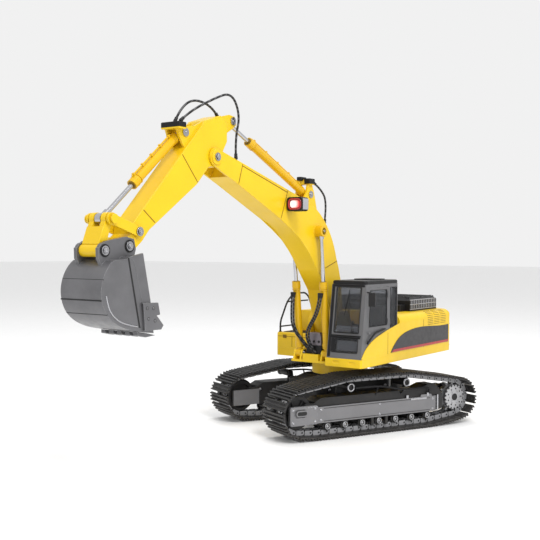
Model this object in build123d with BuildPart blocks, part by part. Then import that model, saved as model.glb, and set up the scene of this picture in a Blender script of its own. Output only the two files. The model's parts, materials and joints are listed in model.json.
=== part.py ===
"""Radio-controlled tracked excavator, about 1:14 scale: a metal scale model with working joints.

Millimetres, +X along the boom, +Y towards the cab side, +Z up, floor at Z = 0.
Every piece is drawn about the slew axis. The undercarriage is then turned by SLEW_DEG, because the
machine is stored with its house slewed against its tracks, and everything moves by CENTRE so that the
origin is under the middle of the whole machine.
"""
from build123d import *
import math
import os

os.makedirs("parts", exist_ok=True)

# ---------------------------------------------------------------- shared frame
SLEW_DEG = 25.0
CENTRE = (-116.6, -1.75, 0.0)
HOUSE = Location(CENTRE)
TRACKS = Location(CENTRE, (0, 0, -SLEW_DEG))

# ---------------------------------------------------------------- undercarriage
GAUGE_HALF = 65.3
SHOE_WIDTH = 44.4
LINK_COUNT = 53
GROUSER_TIP = 6.0
SHOE_IN = 2.7
SHOE_OUT = 4.0
EYE_R = 2.6
TRACK_PIN_R = 0.9
PIN_CLEAR = 0.15
SPROCKET = (-116.0, 30.4)
SPROCKET_PATH_R = 19.4
IDLER = (105.4, 29.8)
IDLER_PATH_R = 21.7
CARRIERS = ((37.7, 53.2), (-41.2, 53.4))
CARRIER_PATH_R = 8.0
ROLLER_X = (68.5, 45.0, 21.5, -2.0, -25.5, -49.0, -72.5)
ROLLER_Z = 12.3
ROLLER_TREAD_R = 3.3
ROLLER_FLANGE_R = 4.9
FRAME_HALF = 10.3
FRAME_Z = (18.0, 44.0)
AXLE_GAP = 0.05

# ---------------------------------------------------------------- house
DECK_Z = (77.0, 86.6)
SIDE_Y = 74.5
FRONT_X = 80.0
REAR_X = -155.0
TAIL_X = -185.0
BODY_TOP = 131.0
SKIN = 2.0
SKIRT_R = 33.5
SKIRT_Z = 59.5
CAB_X = (-8.4, 80.1)
CAB_TOP_FRONT_X = 68.7
CAB_Y = (30.0, 73.9)
CAB_Z = (86.6, 168.6)
ROOF_TOP = 172.9
DOOR_X = (17.0, 70.0)

# ---------------------------------------------------------------- boom, stick and bucket
BOOM_FOOT = (24.0, 104.0)
BOOM_CYL_BASE = (60.0, 87.0)
BOOM_CYL_ROD = (76.0, 228.0)
BOOM_CYL_Y = 18.5
STICK_PIVOT = (257.5, 295.2)
STICK_CYL_BASE = (80.8, 269.4)
STICK_CYL_ROD = (225.2, 333.7)
BUCKET_CYL_BASE = (297.0, 314.6)
ROCKER_PIVOT = (362.8, 221.2)
ROCKER_END = (395.0, 231.3)
LINK_END = (405.2, 204.7)
BUCKET_PIVOT = (376.8, 208.6)
BOOM_HALF = 13.0
STICK_HALF = 10.5
BUCKET_HALF = 24.0
BARREL_R = 4.3
ROD_R = 2.2
ROD_ROOM = 1.5
GLAND_R = 4.9
NECK_R = 3.0
PIN_R = 2.4
EAR_IN = 5.4
EAR_OUT = 7.8
EYE_HALF = 5.0
FIT = 0.05
LOOSE_EYE_ROOM = 1.1

HOSE_R = 1.3
RAIL_R = 1.1


# ---------------------------------------------------------------- helpers
def save(name, shape, frame):
    """Place one finished piece in the shared frame and write its STEP file."""
    placed = shape.moved(frame)
    placed.label = name
    export_step(placed, f"parts/{name}.step")


def side(y):
    """Sketch plane at this Y, drawn as (x, z). Extruding it goes towards -Y."""
    return Plane.XZ.offset(-y)


def slab(x0, x1, y0, y1, z0, z1):
    """Centre and size of the box between two corners."""
    centre = ((x0 + x1) / 2, (y0 + y1) / 2, (z0 + z1) / 2)
    return centre, (abs(x1 - x0), abs(y1 - y0), abs(z1 - z0))


def block(x0, x1, y0, y1, z0, z1, mode=Mode.ADD):
    """Add (or cut) the box between two corners in the current part."""
    centre, size = slab(x0, x1, y0, y1, z0, z1)
    with Locations(centre):
        Box(*size, mode=mode)


def cross_pin(x, z, y0, y1, radius, mode=Mode.ADD):
    """Add (or cut) a cylinder along Y from y0 to y1."""
    with Locations(Location((x, (y0 + y1) / 2, z), (90, 0, 0))):
        Cylinder(radius, abs(y1 - y0), mode=mode)


def upright(x, y, z0, z1, radius, mode=Mode.ADD):
    """Add (or cut) a cylinder along Z."""
    with Locations((x, y, (z0 + z1) / 2)):
        Cylinder(radius, z1 - z0, mode=mode)


def plate(points, y0, y1, mode=Mode.ADD):
    """Add (or cut) a flat (x, z) outline between two Y values."""
    with BuildSketch(side(max(y0, y1))) as outline:
        with BuildLine():
            Polyline(*points, close=True)
        make_face()
    extrude(outline.sketch, amount=abs(y1 - y0), mode=mode)


def tube_path(points, radii):
    """A run of straight lines joined by tangent arcs."""
    with BuildLine() as path:
        FilletPolyline(*points, radius=radii)
    return Wire(path.line.edges())


def arc_radii(points, share=0.45, least=0.0):
    """A bend radius for each inner corner, as large as its two straight runs leave room for."""
    radii = []
    for before, here, after in zip(points, points[1:], points[2:]):
        a = Vector(*here) - Vector(*before)
        b = Vector(*after) - Vector(*here)
        turn = math.radians(a.get_angle(b))
        radii.append(max(least, share * min(a.length, b.length) / math.tan(turn / 2)))
    return radii


def tube(name, points, radius):
    """A round tube along straight runs and tangent arcs."""
    radii = arc_radii(points)
    path = tube_path(points, radii)
    start = path @ 0
    along = path % 0
    with BuildPart() as run:
        with BuildSketch(Plane(origin=start, z_dir=along)):
            Circle(radius)
        sweep(path=path)
    length = path.length
    ideal = math.pi * radius * radius * length
    print(f"{name}: length {length:.1f} mm, smallest bend radius {min(radii):.1f} mm, "
          f"volume ratio {run.part.volume / ideal:.4f}")
    return run.part


def unit(a, b):
    """Length of a-b and its unit direction."""
    dx = b[0] - a[0]
    dz = b[1] - a[1]
    length = math.hypot(dx, dz)
    return length, (dx / length, dz / length)


def along(a, b, distance, offset=0.0):
    """The (x, z) point this far from a towards b, shifted to its left by offset."""
    length, d = unit(a, b)
    return (a[0] + d[0] * distance - d[1] * offset, a[1] + d[1] * distance + d[0] * offset)


def slope_deg(a, b):
    """Angle of a-b above +X, in degrees."""
    return math.degrees(math.atan2(b[1] - a[1], b[0] - a[0]))


def stroke_location(a, b, distance, y):
    """Where a cylinder lying along a-b has its centre, this far from a."""
    x, z = along(a, b, distance)
    return Location((x, y, z), (0, 90 - slope_deg(a, b), 0))


def bar(a, b, start, end, radius, y, mode=Mode.ADD):
    """Add (or cut) a cylinder along a-b between two distances from a."""
    with Locations(stroke_location(a, b, (start + end) / 2, y)):
        Cylinder(radius, end - start, mode=mode)


# ---------------------------------------------------------------- track chain path
def chain_circles():
    """The circles the pin line is wrapped around, anticlockwise from the rear of the bottom run."""
    floor = GROUSER_TIP + 10.0
    return [
        (ROLLER_X[-1], floor, 10.0),
        (ROLLER_X[0] + 14.0, floor, 10.0),
        (*IDLER, IDLER_PATH_R),
        (*CARRIERS[0], CARRIER_PATH_R),
        (*CARRIERS[1], CARRIER_PATH_R),
        (*SPROCKET, SPROCKET_PATH_R),
    ]


def chain_path():
    """The wrapped line as (length, function of distance) pieces."""
    circles = chain_circles()
    normals = []
    for here, after in zip(circles, circles[1:] + circles[:1]):
        span, d = unit(here, after)
        normals.append(math.atan2(d[1], d[0]) - math.acos((here[2] - after[2]) / span))
    pieces = []
    for i, (cx, cz, r) in enumerate(circles):
        start = normals[i - 1]
        sweep_angle = (normals[i] - start) % (2 * math.pi)
        pieces.append((
            r * sweep_angle,
            lambda s, cx=cx, cz=cz, r=r, a=start: (cx + r * math.cos(a + s / r), cz + r * math.sin(a + s / r)),
        ))
        nx, nz, nr = circles[(i + 1) % len(circles)]
        n = (math.cos(normals[i]), math.sin(normals[i]))
        p = (cx + r * n[0], cz + r * n[1])
        q = (nx + nr * n[0], nz + nr * n[1])
        span, d = unit(p, q)
        pieces.append((span, lambda s, p=p, d=d: (p[0] + d[0] * s, p[1] + d[1] * s)))
    return pieces


def chain_point(pieces, s):
    """The point this far along the wrapped line."""
    s %= sum(length for length, _ in pieces)
    for length, at in pieces:
        if s <= length:
            return at(s)
        s -= length
    return pieces[0][1](0.0)


def chain_step(pieces, s, pitch):
    """The next distance whose point is one pitch away in a straight line."""
    here = chain_point(pieces, s)
    low = s + 0.9 * pitch
    high = s + 1.3 * pitch
    for _ in range(50):
        mid = (low + high) / 2
        if unit(here, chain_point(pieces, mid))[0] < pitch:
            low = mid
        else:
            high = mid
    return low


def chain_pins():
    """Pin centres for LINK_COUNT equal links that just close the loop."""
    pieces = chain_path()
    total = sum(length for length, _ in pieces)
    low = 0.8 * total / LINK_COUNT
    high = total / LINK_COUNT
    for _ in range(50):
        pitch = (low + high) / 2
        s = 0.0
        for _ in range(LINK_COUNT):
            s = chain_step(pieces, s, pitch)
        if s < total:
            low = pitch
        else:
            high = pitch
    pins = []
    s = 0.0
    for _ in range(LINK_COUNT):
        pins.append(chain_point(pieces, s))
        s = chain_step(pieces, s, pitch)
    print(f"track: {LINK_COUNT} links of {pitch:.3f} mm, pin line {total:.1f} mm")
    return pins, pitch


PINS, PITCH = chain_pins()


# ---------------------------------------------------------------- track links and pins
def link_ear(x_pin, x_mid, y0, y1):
    """One link plate: an eye round the pin and a web up to the shoe."""
    top = SHOE_IN + 0.5
    with BuildSketch(side(y1)) as ear:
        with Locations((x_pin, 0)):
            Circle(EYE_R)
        with BuildLine():
            Polyline((x_pin, -EYE_R), (x_mid, -EYE_R), (x_mid, top), (x_pin, top), close=True)
        make_face()
        with Locations((x_pin, 0)):
            Circle(TRACK_PIN_R + PIN_CLEAR, mode=Mode.SUBTRACT)
    extrude(ear.sketch, amount=y1 - y0)


def make_link():
    """One track link at the origin: shoe with three grousers over two pairs of ears."""
    half = SHOE_WIDTH / 2
    mid = PITCH / 2
    with BuildPart() as link:
        with BuildSketch(side(half)):
            with BuildLine():
                Polyline(
                    (0.35, SHOE_IN), (PITCH - 0.35, SHOE_IN), (PITCH - 0.35, SHOE_OUT),
                    (PITCH - 0.9, GROUSER_TIP), (PITCH - 1.9, GROUSER_TIP), (PITCH - 2.5, SHOE_OUT),
                    (mid + 1.1, SHOE_OUT), (mid + 0.6, GROUSER_TIP), (mid - 0.6, GROUSER_TIP),
                    (mid - 1.1, SHOE_OUT), (2.5, SHOE_OUT), (1.9, GROUSER_TIP), (0.9, GROUSER_TIP),
                    (0.35, SHOE_OUT), close=True,
                )
            make_face()
        extrude(amount=SHOE_WIDTH)
        for y0, y1 in ((6.2, 8.0), (-8.0, -6.2)):
            link_ear(0.0, PITCH - 3.2, y0, y1)
        for y0, y1 in ((4.2, 6.0), (-6.0, -4.2)):
            link_ear(PITCH, 3.2, y0, y1)
        for y in (5.1, -5.1):
            block(3.2, PITCH - 3.2, y - 1.0, y + 2.0 if y > 0 else y + 1.0, -EYE_R + 0.4, SHOE_IN + 0.5)
        block(3.2, PITCH - 3.2, -7.5, -5.0, -EYE_R + 0.4, SHOE_IN + 0.5)
        for y in (-17.5, -11.5, 11.5, 17.5):
            upright(mid, y, SHOE_IN - 0.5, SHOE_IN + 0.2, 0.9)
    return link.part


def link_locations(y):
    """One location per link: local X runs to the next pin and local Z points out of the loop."""
    places = []
    for here, after in zip(PINS, PINS[1:] + PINS[:1]):
        _, d = unit(here, after)
        out = (d[1], -d[0])
        plane = Plane(origin=(here[0], y, here[1]), x_dir=(d[0], 0, d[1]), z_dir=(out[0], 0, out[1]))
        places.append(plane.location)
    return places


LINK = make_link()
for label, y_side in (("left", GAUGE_HALF), ("right", -GAUGE_HALF)):
    chain = Compound([LINK.moved(place) for place in link_locations(y_side)])
    save(f"track_links_{label}", chain, TRACKS)

with BuildPart() as track_pin:
    cross_pin(0, 0, -8.4, 8.4, TRACK_PIN_R)
    chamfer(track_pin.edges().filter_by(GeomType.CIRCLE), 0.25)
pin_places = [Location((x, y, z)) for y in (GAUGE_HALF, -GAUGE_HALF) for x, z in PINS]
save("track_pins", Compound([track_pin.part.moved(place) for place in pin_places]), TRACKS)


# ---------------------------------------------------------------- track frames
def make_track_frame(y, s):
    """The long box inside one track, with roller hangers, carrier posts and the two end cheeks.

    y is the chain's centre and s is +1 when the outer side faces +Y.
    """
    low, high = FRAME_Z
    with BuildPart() as frame:
        plate(
            [(84.0, low + 2), (84.0, 40.0), (76.0, high), (-60.0, high), (-74.0, 48.5), (-86.0, 48.5),
             (-97.0, 36.0), (-97.0, low + 2), (-94.0, low), (81.0, low)],
            y - FRAME_HALF, y + FRAME_HALF,
        )
        # Cheeks beside the idler, and one beside the sprocket on the inner side only.
        for off in (8.7, -FRAME_HALF):
            block(83.0, 97.5, y + off, y + off + 1.6, 20.0, 39.0)
        inner = sorted((y - s * FRAME_HALF, y - s * 8.9))
        plate([(-96, 20), (-96, 40), (-110, 42.5), (-122, 42.5), (-128, 36), (-128, 25), (-122, 19)],
              inner[0], inner[1])
        cross_pin(*SPROCKET, inner[0] - 1, inner[1] + 1, 6.1, Mode.SUBTRACT)
        # Roller shafts with a hanger on each side.
        for x in ROLLER_X:
            cross_pin(x, ROLLER_Z, y - 11.6, y + 11.6, 1.6)
            for off in (10.2, -11.6):
                plate([(x - 4.0, 23.0), (x + 4.0, 23.0), (x + 2.4, ROLLER_Z - 2.2), (x - 2.4, ROLLER_Z - 2.2)],
                      y + off, y + off + 1.4)
        # Carrier roller posts stand on the inner side and carry the shafts.
        for x, z in CARRIERS:
            cross_pin(x, z, y - s * 13.0, y + s * 10.4, 1.8)
            post = sorted((y - s * 13.0, y - s * 11.0))
            plate([(x - 7, low + 10), (x + 7, low + 10), (x + 3.0, z + 2.4), (x - 3.0, z + 2.4)], post[0], post[1])
            foot = sorted((y - s * 13.0, y - s * 10.0))
            block(x - 7, x + 7, foot[0], foot[1], low + 10, high - 3)
    return frame.part


save("track_frame_left", make_track_frame(GAUGE_HALF, 1), TRACKS)
save("track_frame_right", make_track_frame(-GAUGE_HALF, -1), TRACKS)

# ---------------------------------------------------------------- side plates and idler yokes
with BuildPart() as side_plate:
    plate(
        [(81.9, 17.0), (81.9, 34.8), (-62.0, 34.8), (-63.0, 37.4), (-78.0, 37.4), (-79.0, 34.8),
         (-84.8, 34.8), (-84.8, 17.0)],
        GAUGE_HALF + 11.7, GAUGE_HALF + 12.5,
    )

with BuildPart() as yoke:
    # Outer block with its adjusting slot, the axle through the idler, and the inner block.
    block(83.2, 118.1, GAUGE_HALF + FRAME_HALF + 0.1, GAUGE_HALF + 14.4, 16.8, 37.4)
    fillet(yoke.edges().filter_by(Axis.Y), 2.0)
    with BuildSketch(side(GAUGE_HALF + 14.4)):
        with Locations(IDLER):
            SlotOverall(17.0, 9.0)
    extrude(amount=1.6, mode=Mode.SUBTRACT)
    cross_pin(*IDLER, GAUGE_HALF - 10.6, GAUGE_HALF + 12.0, 3.2)
    block(83.2, 118.1, GAUGE_HALF - 13.6, GAUGE_HALF - FRAME_HALF - 0.1, 18.8, 37.0)

guards = [side_plate.part, yoke.part]
guards += [piece.mirror(Plane.XZ) for piece in guards]
save("track_guards", Compound(guards), TRACKS)


# ---------------------------------------------------------------- sprockets, final drives, idlers
def make_sprocket(y, s):
    """Drive wheel: a chain wheel between the link plates, a hub and the bright outer disc."""
    x, z = SPROCKET
    with BuildPart() as sprocket:
        with BuildSketch(side(y + 3.6)):
            with Locations((x, z)):
                Circle(14.6)
                with PolarLocations(0, 11):
                    with Locations((16.0, 0)):
                        RectangleRounded(4.4, 2.6, 0.8)
        extrude(amount=7.2)
        cross_pin(x, z, y - s * 8.3, y + s * 8.6, 8.0)
        outer = sorted((y + s * 8.5, y + s * 10.4))
        with BuildSketch(side(outer[1])):
            with Locations((x, z)):
                Circle(12.9)
                with PolarLocations(0, 18):
                    with Locations((13.4, 0)):
                        RectangleRounded(2.9, 2.5, 0.6)
        extrude(amount=outer[1] - outer[0])
        for angle in (45, -45, 135, 225):
            a = math.radians(angle)
            cross_pin(x + 6.3 * math.cos(a), z + 6.3 * math.sin(a), y + s * 9.9, y + s * 10.8, 1.5, Mode.SUBTRACT)
        cross_pin(x, z, y - s * 9, y + s * 11, 3.0 + AXLE_GAP, Mode.SUBTRACT)
    return sprocket.part


def make_idler(y):
    """Front wheel: two treads under the link plates and a flange between them."""
    x, z = IDLER
    with BuildPart() as idler:
        cross_pin(x, z, y - 8.0, y + 8.0, 17.9)
        cross_pin(x, z, y - 3.6, y + 3.6, 20.0)
        for off in (5.2, -8.0):
            with BuildSketch(side(y + off + 2.8)):
                with Locations((x, z)):
                    Circle(14.6)
                    Circle(6.4, mode=Mode.SUBTRACT)
            extrude(amount=2.8, mode=Mode.SUBTRACT)
        cross_pin(x, z, y - 9, y + 9, 3.2 + AXLE_GAP, Mode.SUBTRACT)
    return idler.part


def make_final_drive(y, s):
    """Motor and gear housing on the inner side, with the stub shaft the sprocket turns on."""
    x, z = SPROCKET
    with BuildPart() as drive:
        cross_pin(x, z, y - s * 26.0, y - s * 10.4, 12.5)
        cross_pin(x, z, y - s * 14.0, y - s * 10.4, 14.0)
        cross_pin(x, z, y - s * 10.6, y - s * 8.6, 6.0)
        cross_pin(x, z, y - s * 9.0, y + s * 9.6, 3.0)
        inner = sorted((y - s * 26.0, y - s * 14.5))
        block(x + 4, x + 40, inner[0], inner[1], z - 9, z + 9)
        for angle in range(0, 360, 60):
            a = math.radians(angle)
            cross_pin(x + 11.6 * math.cos(a), z + 11.6 * math.sin(a), y - s * 14.8, y - s * 13.9, 1.2)
    return drive.part


for label, y_side, s in (("left", GAUGE_HALF, 1), ("right", -GAUGE_HALF, -1)):
    save(f"sprocket_{label}", make_sprocket(y_side, s), TRACKS)
    save(f"idler_{label}", make_idler(y_side), TRACKS)
drives = [make_final_drive(GAUGE_HALF, 1), make_final_drive(-GAUGE_HALF, -1)]
save("final_drives", Compound(drives), TRACKS)


# ---------------------------------------------------------------- rollers
def make_roller(x, y):
    """Lower roller: a narrow tread under the link plates and a flange on each side of them."""
    with BuildPart() as roller:
        cross_pin(x, ROLLER_Z, y - 10.2, y + 10.2, ROLLER_TREAD_R)
        for off in (8.7, -10.2):
            cross_pin(x, ROLLER_Z, y + off, y + off + 1.5, ROLLER_FLANGE_R)
        cross_pin(x, ROLLER_Z, y - 11, y + 11, 1.6 + AXLE_GAP, Mode.SUBTRACT)
    return roller.part


def make_carrier(x, z, y, s):
    """Upper roller with a ringed outer end."""
    with BuildPart() as carrier:
        cross_pin(x, z, y - 10.4, y + 10.4, 4.0)
        cross_pin(x, z, y + s * 8.7, y + s * 12.6, 4.4)
        cross_pin(x, z, y + s * 11.2, y + s * 12.7, 3.0, Mode.SUBTRACT)
        cross_pin(x, z, y - s * 11, y + s * 10.5, 1.8 + AXLE_GAP, Mode.SUBTRACT)
    return carrier.part


for number, x_roller in enumerate(ROLLER_X, 1):
    pair = [make_roller(x_roller, y) for y in (GAUGE_HALF, -GAUGE_HALF)]
    save(f"lower_rollers_{number}", Compound(pair), TRACKS)
for label, (x_car, z_car) in zip(("front", "rear"), CARRIERS):
    pair = [make_carrier(x_car, z_car, s * GAUGE_HALF, s) for s in (1, -1)]
    save(f"carrier_rollers_{label}", Compound(pair), TRACKS)

# ---------------------------------------------------------------- car body and swing bearing
with BuildPart() as car_body:
    with BuildSketch(Plane.XY.offset(25.0)):
        RectangleRounded(112.0, 76.0, 16.0)
    extrude(amount=27.0)
    with BuildSketch(Plane.XY.offset(52.0)):
        RectangleRounded(104.0, 68.0, 16.0)
    with BuildSketch(Plane.XY.offset(57.0)):
        RectangleRounded(80.0, 66.0, 20.0)
    loft()
    upright(0, 0, 56.0, 59.0, 31.0)
    for x in (14.0, -17.0):
        with BuildSketch(Plane.XZ.offset(-(GAUGE_HALF - FRAME_HALF))):
            with Locations((x, 32.6)):
                RectangleRounded(26.0, 18.0, 3.0)
        extrude(amount=2 * (GAUGE_HALF - FRAME_HALF))
    with BuildSketch(Plane.XY.offset(25.0)):
        with GridLocations(70.0, 44.0, 2, 2):
            Circle(1.9)
    extrude(amount=2.0, mode=Mode.SUBTRACT)
    with BuildSketch(Plane.XY.offset(44.0)):
        Circle(14.0)
    extrude(amount=16.0, mode=Mode.SUBTRACT)
save("car_body", car_body.part, TRACKS)

with BuildPart() as swing_bearing:
    upright(0, 0, 59.0, 66.0, 29.0)
    upright(0, 0, 66.0, 72.0, 26.0)
    upright(0, 0, 58.0, 73.0, 20.0, Mode.SUBTRACT)
    with BuildSketch(Plane.XY.offset(59.0)):
        with PolarLocations(27.6, 12):
            Circle(0.8)
    extrude(amount=7.6)
save("swing_bearing", swing_bearing.part, TRACKS)


# ---------------------------------------------------------------- deck
DECK_FRONT = [
    (REAR_X, SIDE_Y), (FRONT_X - 2, SIDE_Y), (FRONT_X, SIDE_Y - 2), (FRONT_X, 28.0), (67.0, 28.0),
    (67.0, -26.0), (28.0, -26.0), (28.0, -SIDE_Y + 2), (26.0, -SIDE_Y), (REAR_X, -SIDE_Y),
]

with BuildPart() as deck:
    with BuildSketch(Plane.XY.offset(DECK_Z[0])):
        with BuildLine():
            Polyline(*DECK_FRONT, close=True)
        make_face()
    extrude(amount=DECK_Z[1] - DECK_Z[0])
    # Hollow underside, so the deck is a tray on ribs round the turntable.
    for box in ((-146, -40, 6, 70), (-146, -40, -70, -6), (-34, 70, 40, 70), (-34, 20, -70, -40)):
        block(*box, DECK_Z[0] - 1, DECK_Z[1] - 2.4, Mode.SUBTRACT)
    upright(0, 0, SKIRT_Z, DECK_Z[0] + 0.5, SKIRT_R)
    upright(0, 0, SKIRT_Z - 1, 72.4, SKIRT_R - 2.2, Mode.SUBTRACT)
    upright(0, 0, SKIRT_Z - 1, DECK_Z[1] + 1, 10.0, Mode.SUBTRACT)
    # Boom foot ears with the boom cylinder lugs in front of them.
    for y0 in (-19.4, 14.4):
        plate([(2.0, 86.0), (2.0, 112.0), (10.0, 128.0), (16.0, 135.0), (34.0, 135.0), (41.0, 126.0),
               (46.0, 100.0), (50.0, 86.0)], y0, y0 + 5.0)
    for y in (BOOM_CYL_Y, -BOOM_CYL_Y):
        block(53.0, 68.0, y - 7.9, y + 7.9, DECK_Z[0] + 2.4, 95.0, Mode.SUBTRACT)
        for off in (3.5, -5.7):
            plate([(54.0, DECK_Z[0] + 2), (67.0, DECK_Z[0] + 2), (64.4, 87.0), (55.6, 87.0)],
                  y + off, y + off + 2.2)
            cross_pin(*BOOM_CYL_BASE, y + off, y + off + 2.2, 4.6)
    cross_pin(*BOOM_FOOT, -25, 25, PIN_R + FIT, Mode.SUBTRACT)
    cross_pin(*BOOM_CYL_BASE, -30, 30, PIN_R + FIT, Mode.SUBTRACT)
    # Two pressed step outlines under the cab.
    for y in (62.0, 42.0):
        with BuildSketch(Plane.YZ.offset(FRONT_X)):
            with Locations((y, 82.2)):
                SlotOverall(8.6, 3.2)
        extrude(amount=-0.6, mode=Mode.SUBTRACT)
save("deck", deck.part, HOUSE)


# ---------------------------------------------------------------- engine house
with BuildPart() as body_shell:
    # Main housing behind the cab and the boom bay.
    block(REAR_X, -12.0, -SIDE_Y, SIDE_Y, DECK_Z[1], BODY_TOP)
    long_top = body_shell.edges().filter_by(Axis.X).group_by(Axis.Z)[-1]
    fillet(long_top, 9.0)
    block(REAR_X + SKIN, -12.0 - SKIN, -SIDE_Y + SKIN, SIDE_Y - SKIN, DECK_Z[1] - 1, BODY_TOP - 11.0, Mode.SUBTRACT)
    block(REAR_X + SKIN, -12.0 - SKIN, -60, 60, DECK_Z[1] - 1, BODY_TOP - SKIN, Mode.SUBTRACT)
    # Notch for the cab's rear corner and the boom bay.
    block(-40.0, 0.0, -22.0, 24.0, DECK_Z[1] - 1, BODY_TOP + 1, Mode.SUBTRACT)
    block(-42.0, -40.0, -24.0, 26.0, DECK_Z[1], BODY_TOP - SKIN)
    block(-42.0, -12.0, -24.0, -22.0, DECK_Z[1], BODY_TOP - SKIN)
    block(-42.0, -12.0, 24.0, 26.0, DECK_Z[1], BODY_TOP - SKIN)
    # The skin that sweeps forward under the cab door.
    with BuildSketch(side(SIDE_Y)):
        with BuildLine():
            Polyline((-14.0, 112.0), (-14.0, DECK_Z[1]), (79.2, DECK_Z[1]))
            Spline((79.2, DECK_Z[1]), (72.2, 95.4), (56.3, 104.9), (37.6, 110.7), (13.2, 116.1), (-13.0, 121.0))
            Line((-13.0, 121.0), (-14.0, 112.0))
        make_face()
    extrude(amount=0.5)
save("body_shell", body_shell.part, HOUSE)

with BuildPart() as toolbox:
    block(-11.6, 28.0, -SIDE_Y, -28.0, DECK_Z[1], 105.4)
    fillet(toolbox.edges().filter_by(Axis.Z).sort_by(Axis.X)[-2:], 3.0)
    fillet(toolbox.edges().group_by(Axis.Z)[-1], 2.2)
    block(-9.6, 26.0, -SIDE_Y + 2, -30.0, DECK_Z[1] - 1, 103.2, Mode.SUBTRACT)
save("toolbox", toolbox.part, HOUSE)

with BuildPart() as counterweight:
    with BuildSketch(Plane.XY.offset(DECK_Z[0])):
        with BuildLine():
            Line((REAR_X - 0.1, -SIDE_Y), (REAR_X - 0.1, SIDE_Y))
            ThreePointArc((REAR_X - 0.1, SIDE_Y), (TAIL_X, 0), (REAR_X - 0.1, -SIDE_Y))
        make_face()
    extrude(amount=BODY_TOP - DECK_Z[0])
    top_edges = counterweight.edges().group_by(Axis.Z)[-1].filter_by(GeomType.CIRCLE)
    fillet(top_edges, 7.0)
    low_edges = counterweight.edges().group_by(Axis.Z)[0].filter_by(GeomType.CIRCLE)
    fillet(low_edges, 4.0)
save("counterweight", counterweight.part, HOUSE)


def make_side_panel():
    """Dark inlay on the left flank, from a thin curved tip to a square rear end."""
    with BuildPart() as panel:
        with BuildSketch(side(SIDE_Y + 0.5)):
            with BuildLine():
                Spline((11.4, 88.6), (3.0, 96.5), (-12.4, 105.6), (-30.0, 110.2), (-77.0, 113.2), (-151.0, 111.6))
                Polyline((-151.0, 111.6), (-151.0, 88.6), (11.4, 88.6))
            make_face()
        extrude(amount=0.5)
    return panel.part


left_panel = make_side_panel()
save("side_panels", Compound([left_panel, left_panel.mirror(Plane.XZ)]), HOUSE)

with BuildPart() as hood_box:
    block(-152.0, -74.0, -50.0, 57.0, BODY_TOP, 148.0)
    chamfer(hood_box.edges().group_by(Axis.Z)[-1], 4.0)
    block(-72.9, -60.0, -40.0, 50.0, BODY_TOP, 139.0)
    block(-74.5, -72.5, -40.0, 50.0, BODY_TOP, 139.0)
    for i in range(5):
        z = 133.6 + 2.1 * i
        block(-148.0, -79.0, 56.2, 57.5, z, z + 0.9, Mode.SUBTRACT)
        block(-148.0, -79.0, -50.5, -49.2, z, z + 0.9, Mode.SUBTRACT)
    block(-149.0, -77.0, -46.0, 53.0, BODY_TOP - 1, 144.5, Mode.SUBTRACT)
save("hood_box", hood_box.part, HOUSE)


# ---------------------------------------------------------------- cab
def cab_front_x(z):
    """X of the leaning windscreen plane at this height."""
    share = (z - CAB_Z[0]) / (CAB_Z[1] - CAB_Z[0])
    return CAB_X[1] + (CAB_TOP_FRONT_X - CAB_X[1]) * share


CAB_PROFILE = [(CAB_X[0], CAB_Z[0]), (CAB_X[1], CAB_Z[0]), (CAB_TOP_FRONT_X, CAB_Z[1]), (CAB_X[0], CAB_Z[1])]
CAB_SKIN = 2.4
DOOR_GAP = 0.4
DOOR_BASE = [(DOOR_X[0], 116.6), (27.0, 114.8), (37.6, 112.3), (47.0, 109.6), (56.3, 106.6), (64.0, 103.0),
             (DOOR_X[1], 99.0)]
DOOR_OUTLINE = DOOR_BASE + [(DOOR_X[1] - 8.0, 165.0), (DOOR_X[0], 165.0)]
QUARTER_WINDOW = [(-4.0, 118.0), (12.0, 118.0), (12.0, 164.5), (-4.0, 164.5)]


def grow(outline, by):
    """Move each corner of an outline away from its middle by about this much in x and z."""
    cx = (min(p[0] for p in outline) + max(p[0] for p in outline)) / 2
    cz = (min(p[1] for p in outline) + max(p[1] for p in outline)) / 2
    return [(x + math.copysign(by, x - cx), z + math.copysign(by, z - cz)) for x, z in outline]


with BuildPart() as cab_shell:
    plate(CAB_PROFILE, CAB_Y[0], CAB_Y[1])
    fillet(cab_shell.edges().filter_by(Axis.Z), 3.0)
    inner = [(CAB_X[0] + CAB_SKIN, CAB_Z[0] + 3), (cab_front_x(CAB_Z[0] + 3) - CAB_SKIN, CAB_Z[0] + 3),
             (CAB_TOP_FRONT_X - CAB_SKIN, CAB_Z[1] + 1), (CAB_X[0] + CAB_SKIN, CAB_Z[1] + 1)]
    plate(inner, CAB_Y[0] + CAB_SKIN, CAB_Y[1] - CAB_SKIN, Mode.SUBTRACT)
    # Windscreen and lower window.
    block(55.0, 90.0, 37.0, 68.0, 115.2, 165.2, Mode.SUBTRACT)
    block(55.0, 90.0, 35.0, 68.0, 93.6, 108.6, Mode.SUBTRACT)
    # Door opening, rear quarter window, right and rear windows.
    plate(grow(DOOR_OUTLINE, DOOR_GAP), CAB_Y[1] - 6, CAB_Y[1] + 6, Mode.SUBTRACT)
    plate(QUARTER_WINDOW, CAB_Y[1] - 6, CAB_Y[1] + 6, Mode.SUBTRACT)
    plate([(4.0, 116.0), (66.0, 116.0), (62.0, 164.5), (4.0, 164.5)], CAB_Y[0] - 6, CAB_Y[0] + 6, Mode.SUBTRACT)
    block(CAB_X[0] - 3, CAB_X[0] + 6, 37.0, 67.0, 136.0, 164.5, Mode.SUBTRACT)
save("cab_shell", cab_shell.part, HOUSE)

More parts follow.
